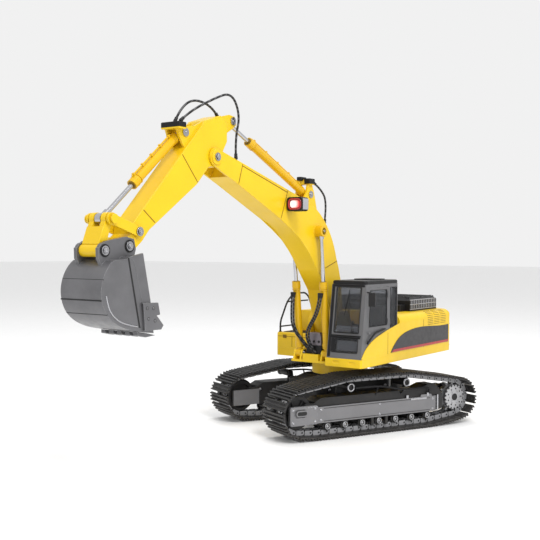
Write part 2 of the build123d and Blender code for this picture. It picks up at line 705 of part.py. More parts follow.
with BuildPart() as cab_roof:
    with BuildSketch(Plane.XY.offset(CAB_Z[1])):
        with Locations(((CAB_X[0] + CAB_TOP_FRONT_X + 1.0) / 2, sum(CAB_Y) / 2)):
            RectangleRounded(CAB_TOP_FRONT_X - CAB_X[0] + 1.0, CAB_Y[1] - CAB_Y[0], 4.0)
    extrude(amount=ROOF_TOP - CAB_Z[1])
    fillet(cab_roof.edges().group_by(Axis.Z)[-1], 2.0)
    with BuildSketch(Plane.XY.offset(ROOF_TOP)):
        with Locations((22.0, sum(CAB_Y) / 2)):
            RectangleRounded(30.0, 26.0, 3.0)
    extrude(amount=1.2)
save("cab_roof", cab_roof.part, HOUSE)

with BuildPart() as cab_glass:
    # Windscreen pane and lower pane lie along the leaning front.
    glass_in = 1.7
    for z0, z1, y0, y1 in ((115.3, 165.1, 37.1, 67.9), (93.7, 108.5, 35.1, 67.9)):
        plate([(cab_front_x(z0) - glass_in, z0), (cab_front_x(z0) - glass_in + 0.9, z0),
               (cab_front_x(z1) - glass_in + 0.9, z1), (cab_front_x(z1) - glass_in, z1)], y0, y1)
    plate([(-3.9, 118.1), (11.9, 118.1), (11.9, 164.4), (-3.9, 164.4)], CAB_Y[1] - 1.6, CAB_Y[1] - 0.7)
    plate([(4.1, 116.1), (65.8, 116.1), (61.9, 164.4), (4.1, 164.4)], CAB_Y[0] + 0.7, CAB_Y[0] + 1.6)
    block(CAB_X[0] + 0.7, CAB_X[0] + 1.6, 37.1, 66.9, 136.1, 164.4)
save("cab_glass", cab_glass.part, HOUSE)

DOOR_HINGE = (DOOR_X[0] - 0.6, CAB_Y[1] + 1.1)
with BuildPart() as cab_door:
    plate(DOOR_OUTLINE, CAB_Y[1] - 2.2, CAB_Y[1])
    plate([(20.5, 121.5), (62.5, 121.5), (59.5, 162.0), (20.5, 162.0)], CAB_Y[1] - 4, CAB_Y[1] + 1, Mode.SUBTRACT)
    block(60.5, 65.5, CAB_Y[1] - 0.1, CAB_Y[1] + 1.2, 113.4, 116.0)
    for z in (126.0, 156.0):
        block(DOOR_X[0], DOOR_X[0] + 2.4, CAB_Y[1] - 0.2, CAB_Y[1] + 1.3, z - 3.0, z + 3.0)
        upright(*DOOR_HINGE, z - 3.0, z + 3.0, 1.0)
save("cab_door", cab_door.part, HOUSE)

with BuildPart() as door_glass:
    plate([(20.6, 121.6), (62.3, 121.6), (59.4, 161.9), (20.6, 161.9)], CAB_Y[1] - 1.6, CAB_Y[1] - 0.7)
save("door_glass", door_glass.part, HOUSE)

with BuildPart() as cab_seat:
    with BuildSketch(side(63.0)):
        with BuildLine():
            Polyline((8.0, 89.6), (32.0, 89.6), (35.0, 107.0), (15.0, 108.5), (10.0, 142.0), (3.0, 142.0),
                     (7.0, 104.0), close=True)
        make_face()
    extrude(amount=22.0)
    for y0 in (37.0, 63.0):
        block(11.0, 31.0, y0, y0 + 4.0, 112.0, 115.0)
        block(11.0, 15.0, y0, y0 + 4.0, 96.0, 112.5)

with BuildPart() as cab_console:
    block(50.0, 64.0, 34.0, 70.0, 89.6, 92.0)
    bar((56.0, 91.0), (49.0, 121.0), 0.0, 30.8, 1.4, 52.0)
    with Locations(Location((48.8, 52.0, 121.6), (0, -13, 0))):
        Torus(6.4, 0.8)
        Cylinder(1.6, 2.0)
    with Locations(Location((48.8, 52.0, 121.6), (0, -13, 0))):
        Box(0.9, 12.6, 0.9)
        Box(12.6, 0.9, 0.9)
save("cab_interior", Compound([cab_seat.part, cab_console.part]), HOUSE)

# ---------------------------------------------------------------- handrails and mirror
RAIL_Y = -71.5
RAIL_TOP = tube("right handrail", [(24.0, RAIL_Y, 105.45), (24.0, RAIL_Y, 118.0), (3.0, RAIL_Y, 152.0),
                                   (-38.0, RAIL_Y, 152.0), (-38.0, -64.0, 131.45)], RAIL_R)
with BuildPart() as right_rail:
    add(RAIL_TOP)
    # Middle bar and low bar.
    with Locations(Location((-14.6, RAIL_Y, 142.0), (0, 90, 0))):
        Cylinder(0.9, 48.2)
    with Locations(Location((9.0, RAIL_Y, 112.0), (0, 90, 0))):
        Cylinder(0.9, 32.0)
    upright(-7.0, RAIL_Y, 105.45, 152.0, 0.9)
    for x in (24.0, -7.0):
        upright(x, RAIL_Y, 105.45, 106.4, 1.8)

save("handrails", right_rail.part, HOUSE)

MIRROR_ARM = tube("mirror arm", [(67.0, CAB_Y[1] + 0.05, 160.0), (67.0, CAB_Y[1] + 5.0, 160.0),
                                 (72.0, CAB_Y[1] + 8.5, 158.0)], 0.7)
with BuildPart() as mirror:
    add(MIRROR_ARM)
    block(70.6, 73.2, CAB_Y[1] + 5.0, CAB_Y[1] + 13.0, 145.0, 160.0)
    fillet(mirror.edges().filter_by(Axis.X), 0.6)
save("mirror", mirror.part, HOUSE)

# ---------------------------------------------------------------- inner pieces of the house
with BuildPart() as battery_pack:
    block(-140.0, -64.0, -34.0, 6.0, DECK_Z[1], 112.0)
    fillet(battery_pack.edges().filter_by(Axis.X), 3.0)
save("battery_pack", battery_pack.part, HOUSE)

with BuildPart() as control_board:
    block(-130.0, -70.0, 18.0, 62.0, 96.0, 97.6)
    for x, y, w, d, h in ((-118, 30, 12, 12, 3), (-96, 48, 16, 10, 5), (-80, 28, 8, 14, 8), (-118, 52, 10, 8, 6)):
        block(x - w / 2, x + w / 2, y - d / 2, y + d / 2, 97.6, 97.6 + h)
    for x in (-127.0, -73.0):
        for y in (21.0, 59.0):
            upright(x, y, DECK_Z[1], 96.0, 2.0)
save("control_board", control_board.part, HOUSE)

with BuildPart() as slew_motor:
    upright(-52.0, 0.0, DECK_Z[1], 118.0, 8.0)
    upright(-52.0, 0.0, DECK_Z[1], 92.0, 9.4)
    upright(-52.0, 0.0, 118.0, 121.0, 2.0)
save("slew_motor", slew_motor.part, HOUSE)


# ---------------------------------------------------------------- pins with washers
def pin_solid(at, half, radius=PIN_R, head=PIN_R + 1.6, head_len=1.1, y=0.0):
    """A pivot pin along Y with a round head outside each end."""
    with BuildPart() as pin:
        cross_pin(*at, y - half, y + half, radius)
        for s in (1, -1):
            cross_pin(*at, y + s * half, y + s * (half + head_len), head)
            cross_pin(*at, y + s * (half + head_len), y + s * (half + head_len + 0.7), radius * 0.55)
    return pin.part


deck_pins = [
    pin_solid(BOOM_FOOT, 19.5),
    pin_solid(BOOM_CYL_BASE, 5.8, y=BOOM_CYL_Y, head=3.4, head_len=0.8),
    pin_solid(BOOM_CYL_BASE, 5.8, y=-BOOM_CYL_Y, head=3.4, head_len=0.8),
]
save("deck_pins", Compound(deck_pins), HOUSE)

# ---------------------------------------------------------------- boom
BOOM_INNER = [(26.0, 128.0), (30.0, 165.0), (41.0, 196.0), (60.0, 222.0), (95.0, 248.0), (214.0, 280.5),
              (222.0, 277.0), (149.0, 247.5), (107.0, 226.5), (86.0, 206.0), (66.0, 186.0), (48.0, 162.0),
              (36.0, 128.0)]
with BuildPart() as boom:
    with BuildSketch(side(BOOM_HALF)):
        with BuildLine():
            Polyline((12.2, 106.0), (22.0, 173.0), (32.0, 198.0))
            ThreePointArc((32.0, 198.0), (54.7, 236.1), (92.0, 260.0))
            Polyline((92.0, 260.0), (216.0, 293.0), (253.0, 302.6), (266.2, 296.0), (261.6, 287.4),
                     (248.0, 281.4), (224.0, 272.0), (149.0, 240.0))
            ThreePointArc((149.0, 240.0), (108.0, 217.6), (74.0, 184.0))
            Polyline((74.0, 184.0), (53.0, 160.0), (35.6, 108.0), (24.0, 93.0), (12.2, 106.0))
        make_face()
        with Locations(STICK_PIVOT):
            Circle(8.8)
        with Locations(BOOM_FOOT):
            Circle(11.8)
    extrude(amount=2 * BOOM_HALF)
    plate(BOOM_INNER, -BOOM_HALF + 2.2, BOOM_HALF - 2.2, Mode.SUBTRACT)
    # The head is a fork: the stick's tail turns between its cheeks.
    with BuildSketch(side(STICK_HALF + 0.5)):
        with Locations(STICK_PIVOT):
            Circle(26.0)
    extrude(amount=2 * STICK_HALF + 1.0, mode=Mode.SUBTRACT)
    cross_pin(*STICK_PIVOT, -BOOM_HALF - 1.4, -BOOM_HALF + 1.0, 7.4)
    cross_pin(*STICK_PIVOT, BOOM_HALF - 1.0, BOOM_HALF + 1.4, 7.4)
    cross_pin(*BOOM_FOOT, -BOOM_HALF - 1.2, BOOM_HALF + 1.2, 7.0)
    # Boss that carries the two boom cylinder rods.
    for y0 in (-BOOM_HALF - 1.5, BOOM_HALF):
        cross_pin(*BOOM_CYL_ROD, y0, y0 + 1.5, 6.4)
    # Ears for the stick cylinder.
    for y0 in (-EAR_OUT, EAR_IN):
        plate([(62.0, 236.0), (98.0, 259.0), (88.6, 271.6), (86.0, 281.0), (78.0, 281.0), (73.4, 271.6)],
              y0, y0 + EAR_OUT - EAR_IN)
    block(77.0, 87.0, -EAR_OUT, 10.4, 280.4, 286.0)
    cross_pin(*BOOM_FOOT, -20, 20, PIN_R + FIT, Mode.SUBTRACT)
    cross_pin(*STICK_PIVOT, -20, 20, PIN_R + FIT, Mode.SUBTRACT)
    cross_pin(*BOOM_CYL_ROD, -20, 20, PIN_R + FIT, Mode.SUBTRACT)
    cross_pin(*STICK_CYL_BASE, -20, 20, PIN_R + FIT, Mode.SUBTRACT)
save("boom", boom.part, HOUSE)

boom_pins = [
    pin_solid(STICK_PIVOT, BOOM_HALF + 1.5),
    pin_solid(BOOM_CYL_ROD, BOOM_CYL_Y + EYE_HALF - 1.4),
    pin_solid(STICK_CYL_BASE, EAR_OUT + 0.1),
]
save("boom_pins", Compound(boom_pins), HOUSE)

LAMP_X = (126.0, 138.0)
LAMP_Y = (14.2, 34.0)
LAMP_Z = (248.0, 263.0)
with BuildPart() as lamp_housing:
    block(*LAMP_X, *LAMP_Y, *LAMP_Z)
    fillet(lamp_housing.edges().filter_by(Axis.X), 3.4)
    with BuildSketch(Plane.YZ.offset(LAMP_X[1])):
        with Locations((sum(LAMP_Y) / 2, sum(LAMP_Z) / 2)):
            RectangleRounded(16.6, 11.8, 2.4)
    extrude(amount=-2.6, mode=Mode.SUBTRACT)
    block(LAMP_X[0] + 2, LAMP_X[1] - 4, BOOM_HALF, LAMP_Y[0] + 1, 252.0, 259.0)
with BuildPart() as lamp_lens:
    with BuildSketch(Plane.YZ.offset(LAMP_X[1] - 2.5)):
        with Locations((sum(LAMP_Y) / 2, sum(LAMP_Z) / 2)):
            RectangleRounded(16.4, 11.6, 2.3)
    extrude(amount=1.6)
save("boom_lamp", Compound([lamp_housing.part, lamp_lens.part]), HOUSE)

# ---------------------------------------------------------------- stick
with BuildPart() as stick:
    with BuildSketch(side(STICK_HALF)):
        with BuildLine():
            Polyline(
                (238.0, 330.0), (248.0, 336.0), (271.5, 328.4), (299.0, 300.0), (369.6, 226.5), (371.0, 219.0),
                (384.6, 209.0), (379.0, 200.8), (368.4, 204.0), (357.0, 213.0), (348.0, 223.0), (283.0, 267.5),
                (266.0, 285.0), (252.0, 288.0), (248.0, 296.0), (238.0, 312.0), close=True,
            )
        make_face()
        with Locations(BUCKET_PIVOT):
            Circle(7.6)
        with Locations(STICK_PIVOT):
            Circle(10.0)
    extrude(amount=2 * STICK_HALF)
    plate([(252.0, 308.0), (252.0, 326.0), (272.0, 322.0), (297.0, 298.0), (355.0, 232.0), (349.0, 229.0),
           (286.0, 272.0), (270.0, 290.0)], -STICK_HALF + 2.0, STICK_HALF - 2.0, Mode.SUBTRACT)
    # Ears for the stick cylinder rod and the bucket cylinder.
    for y0 in (-EAR_OUT, EAR_IN):
        plate([(240.0, 318.0), (250.0, 334.5), (231.0, 339.4), (222.0, 338.4), (219.4, 331.0), (224.0, 327.0)],
              y0, y0 + EAR_OUT - EAR_IN)
        plate([(270.0, 329.0), (298.0, 300.0), (305.4, 310.0), (309.0, 319.0), (303.0, 319.0), (295.0, 320.6),
               (284.0, 322.0)], y0, y0 + EAR_OUT - EAR_IN)
    block(303.0, 313.0, -EAR_OUT, 14.0, 316.4, 322.4)
    for at in (STICK_PIVOT, STICK_CYL_ROD, BUCKET_CYL_BASE, ROCKER_PIVOT, BUCKET_PIVOT):
        cross_pin(*at, -20, 20, PIN_R + FIT, Mode.SUBTRACT)
save("stick", stick.part, HOUSE)

stick_pins = [
    pin_solid(STICK_CYL_ROD, EAR_OUT + 0.1),
    pin_solid(BUCKET_CYL_BASE, EAR_OUT + 0.1),
    pin_solid(ROCKER_PIVOT, STICK_HALF + 2.8),
]
save("stick_pins", Compound(stick_pins), HOUSE)


# ---------------------------------------------------------------- hydraulic cylinders
def make_barrel(base, rod, barrel_len, y, eye_half, pipe_side=0):
    """Barrel with its base eye, end caps and a feed pipe held by clips."""
    with BuildPart() as barrel:
        bar(base, rod, 6.5, barrel_len, BARREL_R, y)
        bar(base, rod, 1.0, 8.0, NECK_R, y)
        bar(base, rod, 7.0, 13.0, BARREL_R + 0.5, y)
        bar(base, rod, barrel_len - 8.0, barrel_len, GLAND_R, y)
        cross_pin(*base, y - eye_half, y + eye_half, 5.0)
        bar(base, rod, 14.0, barrel_len + 1.0, ROD_R + ROD_ROOM, y, Mode.SUBTRACT)
        cross_pin(*base, y - 8, y + 8, PIN_R + FIT, Mode.SUBTRACT)
        if pipe_side:
            lift = BARREL_R + 1.5
            a = along(base, rod, 12.0, pipe_side * lift)
            b = along(base, rod, barrel_len - 5.0, pipe_side * lift)
            span = unit(a, b)[0]
            bar(a, b, 0.0, span, 0.8, y)
            for i in range(5):
                share = 0.04 + 0.23 * i
                c = along(a, b, span * share)
                with Locations(Location((c[0], y, c[1]), (0, -slope_deg(base, rod), 0))):
                    Box(2.0, 2.6, 2.6)
                foot = along(base, rod, 12.0 + (barrel_len - 17.0) * share, pipe_side * (BARREL_R - 0.2 + 0.4))
                with Locations(Location((foot[0], y, foot[1]), (0, -slope_deg(base, rod), 0))):
                    Box(2.0, 1.6, 1.6)
    return barrel.part


def make_rod(base, rod, rod_len, y, eye_half=3.2):
    """Polished rod with the eye at its outer end. It stops short of the barrel's closed end."""
    total = unit(base, rod)[0]
    with BuildPart() as piece:
        bar(base, rod, total - rod_len, total - 3.0, ROD_R, y)
        bar(base, rod, total - 9.0, total - 3.0, ROD_R + 1.2, y)
        cross_pin(*rod, y - eye_half, y + eye_half, 5.0)
        cross_pin(*rod, y - eye_half - 1, y + eye_half + 1, PIN_R + FIT, Mode.SUBTRACT)
    return piece.part


BOOM_BARREL = 84.0
STICK_BARREL = 119.0
BUCKET_BARREL = 81.0
boom_barrels = [make_barrel(BOOM_CYL_BASE, BOOM_CYL_ROD, BOOM_BARREL, y, 3.2) for y in (BOOM_CYL_Y, -BOOM_CYL_Y)]
boom_rods = [make_rod(BOOM_CYL_BASE, BOOM_CYL_ROD, 96.0, y) for y in (BOOM_CYL_Y, -BOOM_CYL_Y)]
save("boom_cylinder_barrels", Compound(boom_barrels), HOUSE)
save("boom_cylinder_rods", Compound(boom_rods), HOUSE)
save("stick_cylinder_barrel", make_barrel(STICK_CYL_BASE, STICK_CYL_ROD, STICK_BARREL, 0.0, EYE_HALF, 1), HOUSE)
save("stick_cylinder_rod", make_rod(STICK_CYL_BASE, STICK_CYL_ROD, 110.0, 0.0, EYE_HALF), HOUSE)
save("bucket_cylinder_barrel", make_barrel(BUCKET_CYL_BASE, ROCKER_END, BUCKET_BARREL, 0.0, EYE_HALF, 1), HOUSE)
save("bucket_cylinder_rod", make_rod(BUCKET_CYL_BASE, ROCKER_END, 80.0, 0.0), HOUSE)

# ---------------------------------------------------------------- rocker and link
with BuildPart() as rocker_arms:
    for y0 in (-STICK_HALF - 2.6, STICK_HALF + 0.6):
        _, d = unit(ROCKER_PIVOT, ROCKER_END)
        n = (-d[1], d[0])
        plate([(ROCKER_PIVOT[0] + n[0] * 4.4, ROCKER_PIVOT[1] + n[1] * 4.4),
               (ROCKER_END[0] + n[0] * 4.4, ROCKER_END[1] + n[1] * 4.4),
               (ROCKER_END[0] - n[0] * 4.4, ROCKER_END[1] - n[1] * 4.4),
               (ROCKER_PIVOT[0] - n[0] * 4.4, ROCKER_PIVOT[1] - n[1] * 4.4)], y0, y0 + 2.0)
        cross_pin(*ROCKER_PIVOT, y0, y0 + 2.0, 5.2)
        cross_pin(*ROCKER_END, y0, y0 + 2.0, 5.2)
    cross_pin(*ROCKER_END, -16.4, 16.4, PIN_R)
    for s in (1, -1):
        cross_pin(*ROCKER_END, s * 15.2, s * 16.4, PIN_R + 1.6)
    cross_pin(*ROCKER_PIVOT, -20, 20, PIN_R + FIT, Mode.SUBTRACT)
save("rocker_arms", rocker_arms.part, HOUSE)

with BuildPart() as bucket_link:
    _, d = unit(ROCKER_END, LINK_END)
    n = (-d[1], d[0])
    for y0 in (-9.6, 4.4):
        plate([(ROCKER_END[0] + n[0] * 3.8, ROCKER_END[1] + n[1] * 3.8),
               (LINK_END[0] + n[0] * 3.8, LINK_END[1] + n[1] * 3.8),
               (LINK_END[0] - n[0] * 3.8, LINK_END[1] - n[1] * 3.8),
               (ROCKER_END[0] - n[0] * 3.8, ROCKER_END[1] - n[1] * 3.8)], y0, y0 + 5.2)
        cross_pin(*ROCKER_END, y0, y0 + 5.2, 5.4)
    cross_pin(*LINK_END, -10.6, 10.6, 5.4)
    mid_x, mid_z = along(ROCKER_END, LINK_END, 15.5)
    cross_pin(mid_x, mid_z, -9.6, 9.6, 3.0)
    cross_pin(*ROCKER_END, -20, 20, PIN_R + LOOSE_EYE_ROOM, Mode.SUBTRACT)
    cross_pin(*LINK_END, -20, 20, PIN_R + FIT, Mode.SUBTRACT)
save("bucket_link", bucket_link.part, HOUSE)

# ---------------------------------------------------------------- bucket
with BuildPart() as bucket:
    with BuildSketch(side(BUCKET_HALF)):
        with BuildLine():
            Polyline((363.5, 134.4), (356.6, 133.6), (360.7, 162.4), (369.9, 202.6), (386.7, 199.4),
                     (389.0, 197.6), (404.0, 196.6))
            Spline((404.0, 196.6), (413.4, 187.0), (418.2, 170.0), (412.6, 153.4), (399.0, 143.0), (382.0, 137.6),
                   (363.5, 134.4))
        make_face()
    extrude(amount=2 * BUCKET_HALF)
    with BuildSketch(side(BUCKET_HALF - 2.0)):
        with BuildLine():
            Polyline((355.0, 136.2), (345.0, 136.2), (352.0, 206.0), (384.0, 206.0), (384.0, 194.8),
                     (389.4, 195.0), (402.6, 194.0))
            Spline((402.6, 194.0), (411.0, 185.6), (415.8, 170.0), (410.6, 155.0), (398.0, 145.4), (381.6, 140.0),
                   (355.0, 136.2))
        make_face()
    extrude(amount=2 * BUCKET_HALF - 4.0, mode=Mode.SUBTRACT)
    # Two hanger ears between the pins.
    for y0 in (-14.6, 11.2):
        plate([(368.8, 206.0), (371.0, 214.6), (380.0, 216.4), (404.0, 212.4), (412.4, 206.6), (412.0, 198.0),
               (407.6, 190.0), (398.0, 193.6), (384.0, 193.0), (374.0, 190.0)], y0, y0 + 3.4)
        for at in (BUCKET_PIVOT, LINK_END):
            cross_pin(*at, y0, y0 + 3.4, 6.6)
    for at in (BUCKET_PIVOT, LINK_END):
        cross_pin(*at, -20, 20, PIN_R + FIT, Mode.SUBTRACT)
save("bucket", bucket.part, HOUSE)

bucket_pins = [pin_solid(BUCKET_PIVOT, 14.7), pin_solid(LINK_END, 14.7)]
save("bucket_pins", Compound(bucket_pins), HOUSE)

cutters = []
for s in (1, -1):
    with BuildPart() as cutter:
        ys = sorted((s * BUCKET_HALF, s * (BUCKET_HALF + 1.6)))
        plate([(372.0, 160.4), (353.4, 160.0), (350.8, 149.5), (355.2, 148.9), (346.5, 140.1), (349.4, 136.4),
               (369.6, 136.5)], *ys)
    cutters.append(cutter.part)
for i in range(5):
    y = -19.2 + 9.6 * i
    with BuildPart() as tooth:
        with BuildSketch(side(y + 2.6)):
            with BuildLine():
                Polyline((374.0, 135.7), (374.0, 132.6), (364.0, 130.4), (352.0, 131.4), (362.6, 133.9), close=True)
            make_face()
        extrude(amount=5.2)
    cutters.append(tooth.part)
save("bucket_cutters", Compound(cutters), HOUSE)

# ---------------------------------------------------------------- hoses
# Each one is held at both ends, so it is drawn whole along its route.
boom_hose = tube("boom hose", [(76.8, 8.6, 283.2), (60.0, 8.6, 277.0), (46.5, 8.6, 262.0), (52.2, 8.6, 236.4)], HOSE_R)
save("boom_hose", boom_hose, HOUSE)

stick_hose = tube("stick hose", [(307.0, 3.6, 323.1), (300.0, 3.6, 336.0), (281.0, 3.6, 348.6), (252.0, 3.6, 345.0),
                                 (243.4, 3.6, 335.0)], HOSE_R)
save("stick_hose", stick_hose, HOUSE)

arm_hose = tube("arm hose", [
    (309.0, 12.2, 323.4), (297.0, 12.2, 333.0), (262.0, 12.2, 350.0), (233.0, 12.2, 361.0),
    (219.0, 12.2, 340.0), (227.0, 12.2, 316.0), (225.6, 12.2, 296.0),
], HOSE_R)
save("arm_hose", arm_hose, HOUSE)

swing_runs = []
for i, shift in enumerate((0.0, 3.0)):
    swing_runs.append(tube(f"near swing hose {i + 1}", [
        (75.4, 17.0 + shift, 157.6), (75.4, 15.0 + shift, 138.0), (71.0, -4.6 + shift, 113.0),
        (66.0, -3.6 + shift, 97.0), (62.0, 2.0 + shift, DECK_Z[1] + 0.8),
    ], HOSE_R))
    swing_runs.append(tube(f"far swing hose {i + 1}", [
        (75.4, -17.0 - shift, 157.6), (75.4, -18.4 - shift, 138.0), (72.0, -19.6 - shift, 116.0),
        (64.0, -7.0 - shift, 97.0), (58.0, -3.0 - shift, DECK_Z[1] + 0.8),
    ], HOSE_R))
save("swing_hoses", Compound(swing_runs), HOUSE)
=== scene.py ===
"""Looks of the radio-controlled excavator: materials, small fittings, hoses, floor, light and camera.

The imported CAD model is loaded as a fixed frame. Lengths in the tables are millimetres, in one of two local
frames about the slew axis: house() for what turns with the house, tracks() for the undercarriage, whose X
runs along the tracks.
"""

import json
import math

import bmesh
import bpy
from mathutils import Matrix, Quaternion, Vector


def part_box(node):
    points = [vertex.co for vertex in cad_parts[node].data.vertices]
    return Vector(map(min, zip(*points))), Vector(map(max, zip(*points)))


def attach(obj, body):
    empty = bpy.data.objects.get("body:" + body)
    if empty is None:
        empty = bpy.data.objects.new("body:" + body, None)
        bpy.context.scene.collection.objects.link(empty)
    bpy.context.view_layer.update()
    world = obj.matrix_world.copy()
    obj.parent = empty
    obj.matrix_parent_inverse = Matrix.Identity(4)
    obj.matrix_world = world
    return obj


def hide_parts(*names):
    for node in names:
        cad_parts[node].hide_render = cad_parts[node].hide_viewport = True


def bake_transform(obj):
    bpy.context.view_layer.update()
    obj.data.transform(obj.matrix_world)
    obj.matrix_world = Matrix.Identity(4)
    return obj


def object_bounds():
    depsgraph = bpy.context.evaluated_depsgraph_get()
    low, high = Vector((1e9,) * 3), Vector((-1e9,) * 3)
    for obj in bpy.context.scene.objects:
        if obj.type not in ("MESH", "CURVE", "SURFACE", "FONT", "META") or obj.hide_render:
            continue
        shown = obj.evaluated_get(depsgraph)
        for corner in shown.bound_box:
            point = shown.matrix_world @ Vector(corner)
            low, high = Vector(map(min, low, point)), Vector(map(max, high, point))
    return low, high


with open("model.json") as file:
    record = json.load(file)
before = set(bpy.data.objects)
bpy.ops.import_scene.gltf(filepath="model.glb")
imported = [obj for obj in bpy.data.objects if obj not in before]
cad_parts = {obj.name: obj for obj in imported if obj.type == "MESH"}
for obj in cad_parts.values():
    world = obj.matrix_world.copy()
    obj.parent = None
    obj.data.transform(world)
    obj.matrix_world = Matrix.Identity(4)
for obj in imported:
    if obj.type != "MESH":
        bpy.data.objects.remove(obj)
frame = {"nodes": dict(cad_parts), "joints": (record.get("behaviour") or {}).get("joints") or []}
cad_low, cad_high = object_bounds()

MM = 0.001
JOINTS = {joint["name"]: joint for joint in frame["joints"]}
SLEW_POINT = Vector(JOINTS["house_slew"]["pos_m"])
AXIS_FLOOR = Vector((SLEW_POINT.x, SLEW_POINT.y, 0.0))
WHEEL_AXIS = Vector(JOINTS["sprocket_left_spin"]["axis"])
TRACK_DIR = Vector((WHEEL_AXIS.y, -WHEEL_AXIS.x, 0.0))
CHAIN_Y = 65.3
SHARP_ANGLE = math.radians(38)


def house(x, y, z):
    """A point of the house frame, in mm, as a point of the row frame."""
    return AXIS_FLOOR + Vector((x, y, z)) * MM


def tracks(x, y, z):
    """A point of the undercarriage frame, in mm, as a point of the row frame."""
    return AXIS_FLOOR + (TRACK_DIR * x + WHEEL_AXIS * y) * MM + Vector((0.0, 0.0, z * MM))


# ---------------------------------------------------------------- materials
def node(tree, kind, **settings):
    """Add one shader node and set its plain properties."""
    made = tree.nodes.new(kind)
    for key, value in settings.items():
        setattr(made, key, value)
    return made


def noise(tree, place, per_mm, detail=4.0, rough=0.55):
    """Noise with a feature size given in mm."""
    made = node(tree, "ShaderNodeTexNoise")
    made.inputs["Scale"].default_value = 1.0 / (per_mm * MM)
    made.inputs["Detail"].default_value = detail
    made.inputs["Roughness"].default_value = rough
    tree.links.new(place, made.inputs["Vector"])
    return made.outputs["Fac"]


def remap(tree, value, low, high, to_low, to_high):
    """Clamp a value from one range to another."""
    made = node(tree, "ShaderNodeMapRange")
    for socket, number in zip(("From Min", "From Max", "To Min", "To Max"), (low, high, to_low, to_high)):
        made.inputs[socket].default_value = number
    tree.links.new(value, made.inputs["Value"])
    return made.outputs["Result"]


def blend_colour(tree, factor, first, second):
    """Mix two colours, each a tuple or a socket."""
    made = node(tree, "ShaderNodeMix", data_type="RGBA")
    tree.links.new(factor, made.inputs["Factor"])
    for name, value in (("A", first), ("B", second)):
        socket = [s for s in made.inputs if s.name == name and s.type == "RGBA"][0]
        if isinstance(value, tuple):
            socket.default_value = (*value, 1.0)
        else:
            tree.links.new(value, socket)
    return [s for s in made.outputs if s.type == "RGBA"][0]


def link(tree, source, target):
    """Set a node's socket to a plain value, or join another socket to it."""
    if isinstance(source, bpy.types.NodeSocket):
        tree.links.new(source, target)
    else:
        target.default_value = source


def maths(tree, operation, first, second=None):
    """One arithmetic step."""
    made = node(tree, "ShaderNodeMath", operation=operation)
    link(tree, first, made.inputs[0])
    if second is not None:
        link(tree, second, made.inputs[1])
    return made.outputs[0]


def product(tree, first, second):
    """Multiply two values."""
    return maths(tree, "MULTIPLY", first, second)


def dot_product(tree, first, second):
    """How far one direction reaches along another."""
    made = node(tree, "ShaderNodeVectorMath", operation="DOT_PRODUCT")
    link(tree, first, made.inputs[0])
    link(tree, second, made.inputs[1])
    return made.outputs["Value"]


def object_place(tree):
    """The point's place in the part's own frame."""
    return node(tree, "ShaderNodeTexCoord").outputs["Object"]


def face_normal(tree):
    """The direction that the face looks in."""
    return node(tree, "ShaderNodeNewGeometry").outputs["Normal"]


def new_material(name):
    """A material with its node tree and its main shader."""
    made = bpy.data.materials.new(name)
    made.use_nodes = True
    return made, made.node_tree, made.node_tree.nodes["Principled BSDF"]


def edge_mask(tree, rounded):
    """1 along sharp edges, 0 on flats: how far the rounded normal leans from the face's own."""
    return remap(tree, dot_product(tree, rounded, face_normal(tree)), 0.992, 0.93, 0.0, 1.0)


def scaled(colour, by):
    """A lighter or darker copy of a colour."""
    return tuple(min(1.0, c * by) for c in colour)


def surface(name, colour, rough, metallic=0.0, wear=None, wear_share=0.5, patch=0.10, grain=1.2, bump=0.05,
            rounding=0.35, coat=0.0, spread=0.08, stretch=None, dust=None, gloss=0.3):
    """A worn solid finish: patchy colour, grain, uneven gloss and edges rubbed to the wear colour."""
    made, tree, shader = new_material(name)
    place = object_place(tree)
    if stretch:
        mapping = node(tree, "ShaderNodeMapping")
        mapping.inputs["Scale"].default_value = stretch
        tree.links.new(place, mapping.inputs["Vector"])
        place = mapping.outputs["Vector"]
    bevel = node(tree, "ShaderNodeBevel", samples=4)
    bevel.inputs["Radius"].default_value = rounding * MM
    large = noise(tree, place, 34.0, 3.0)
    fine = noise(tree, place, grain, 5.0, 0.6)
    patches = remap(tree, large, 0.3, 0.7, 0.0, 1.0)
    tone = blend_colour(tree, patches, scaled(colour, 1 - patch), scaled(colour, 1 + patch))
    tone = blend_colour(tree, remap(tree, fine, 0.35, 0.75, 0.0, 0.35), tone, scaled(colour, 0.82))
    if dust:
        low = node(tree, "ShaderNodeSeparateXYZ")
        tree.links.new(object_place(tree), low.inputs["Vector"])
        near_floor = remap(tree, low.outputs["Z"], 0.0, 0.07, 0.6, 0.0)
        tone = blend_colour(tree, product(tree, near_floor, noise(tree, place, 9.0, 6.0)), tone, dust)
    if wear:
        uneven = remap(tree, fine, 0.4, 0.65, 0.15, wear_share)
        rubbed = product(tree, edge_mask(tree, bevel.outputs["Normal"]), uneven)
        tone = blend_colour(tree, rubbed, tone, wear)
    tree.links.new(tone, shader.inputs["Base Color"])
    tree.links.new(remap(tree, noise(tree, place, 6.0, 5.0), 0.3, 0.7, rough - spread, rough + spread),
                   shader.inputs["Roughness"])
    relief = node(tree, "ShaderNodeBump")
    relief.inputs["Strength"].default_value = bump
    relief.inputs["Distance"].default_value = 0.4 * MM
    tree.links.new(fine, relief.inputs["Height"])
    tree.links.new(bevel.outputs["Normal"], relief.inputs["Normal"])
    tree.links.new(relief.outputs["Normal"], shader.inputs["Normal"])
    shader.inputs["Metallic"].default_value = metallic
    shader.inputs["Specular IOR Level"].default_value = gloss
    shader.inputs["Coat Weight"].default_value = coat
    shader.inputs["Coat Roughness"].default_value = 0.12
    return made


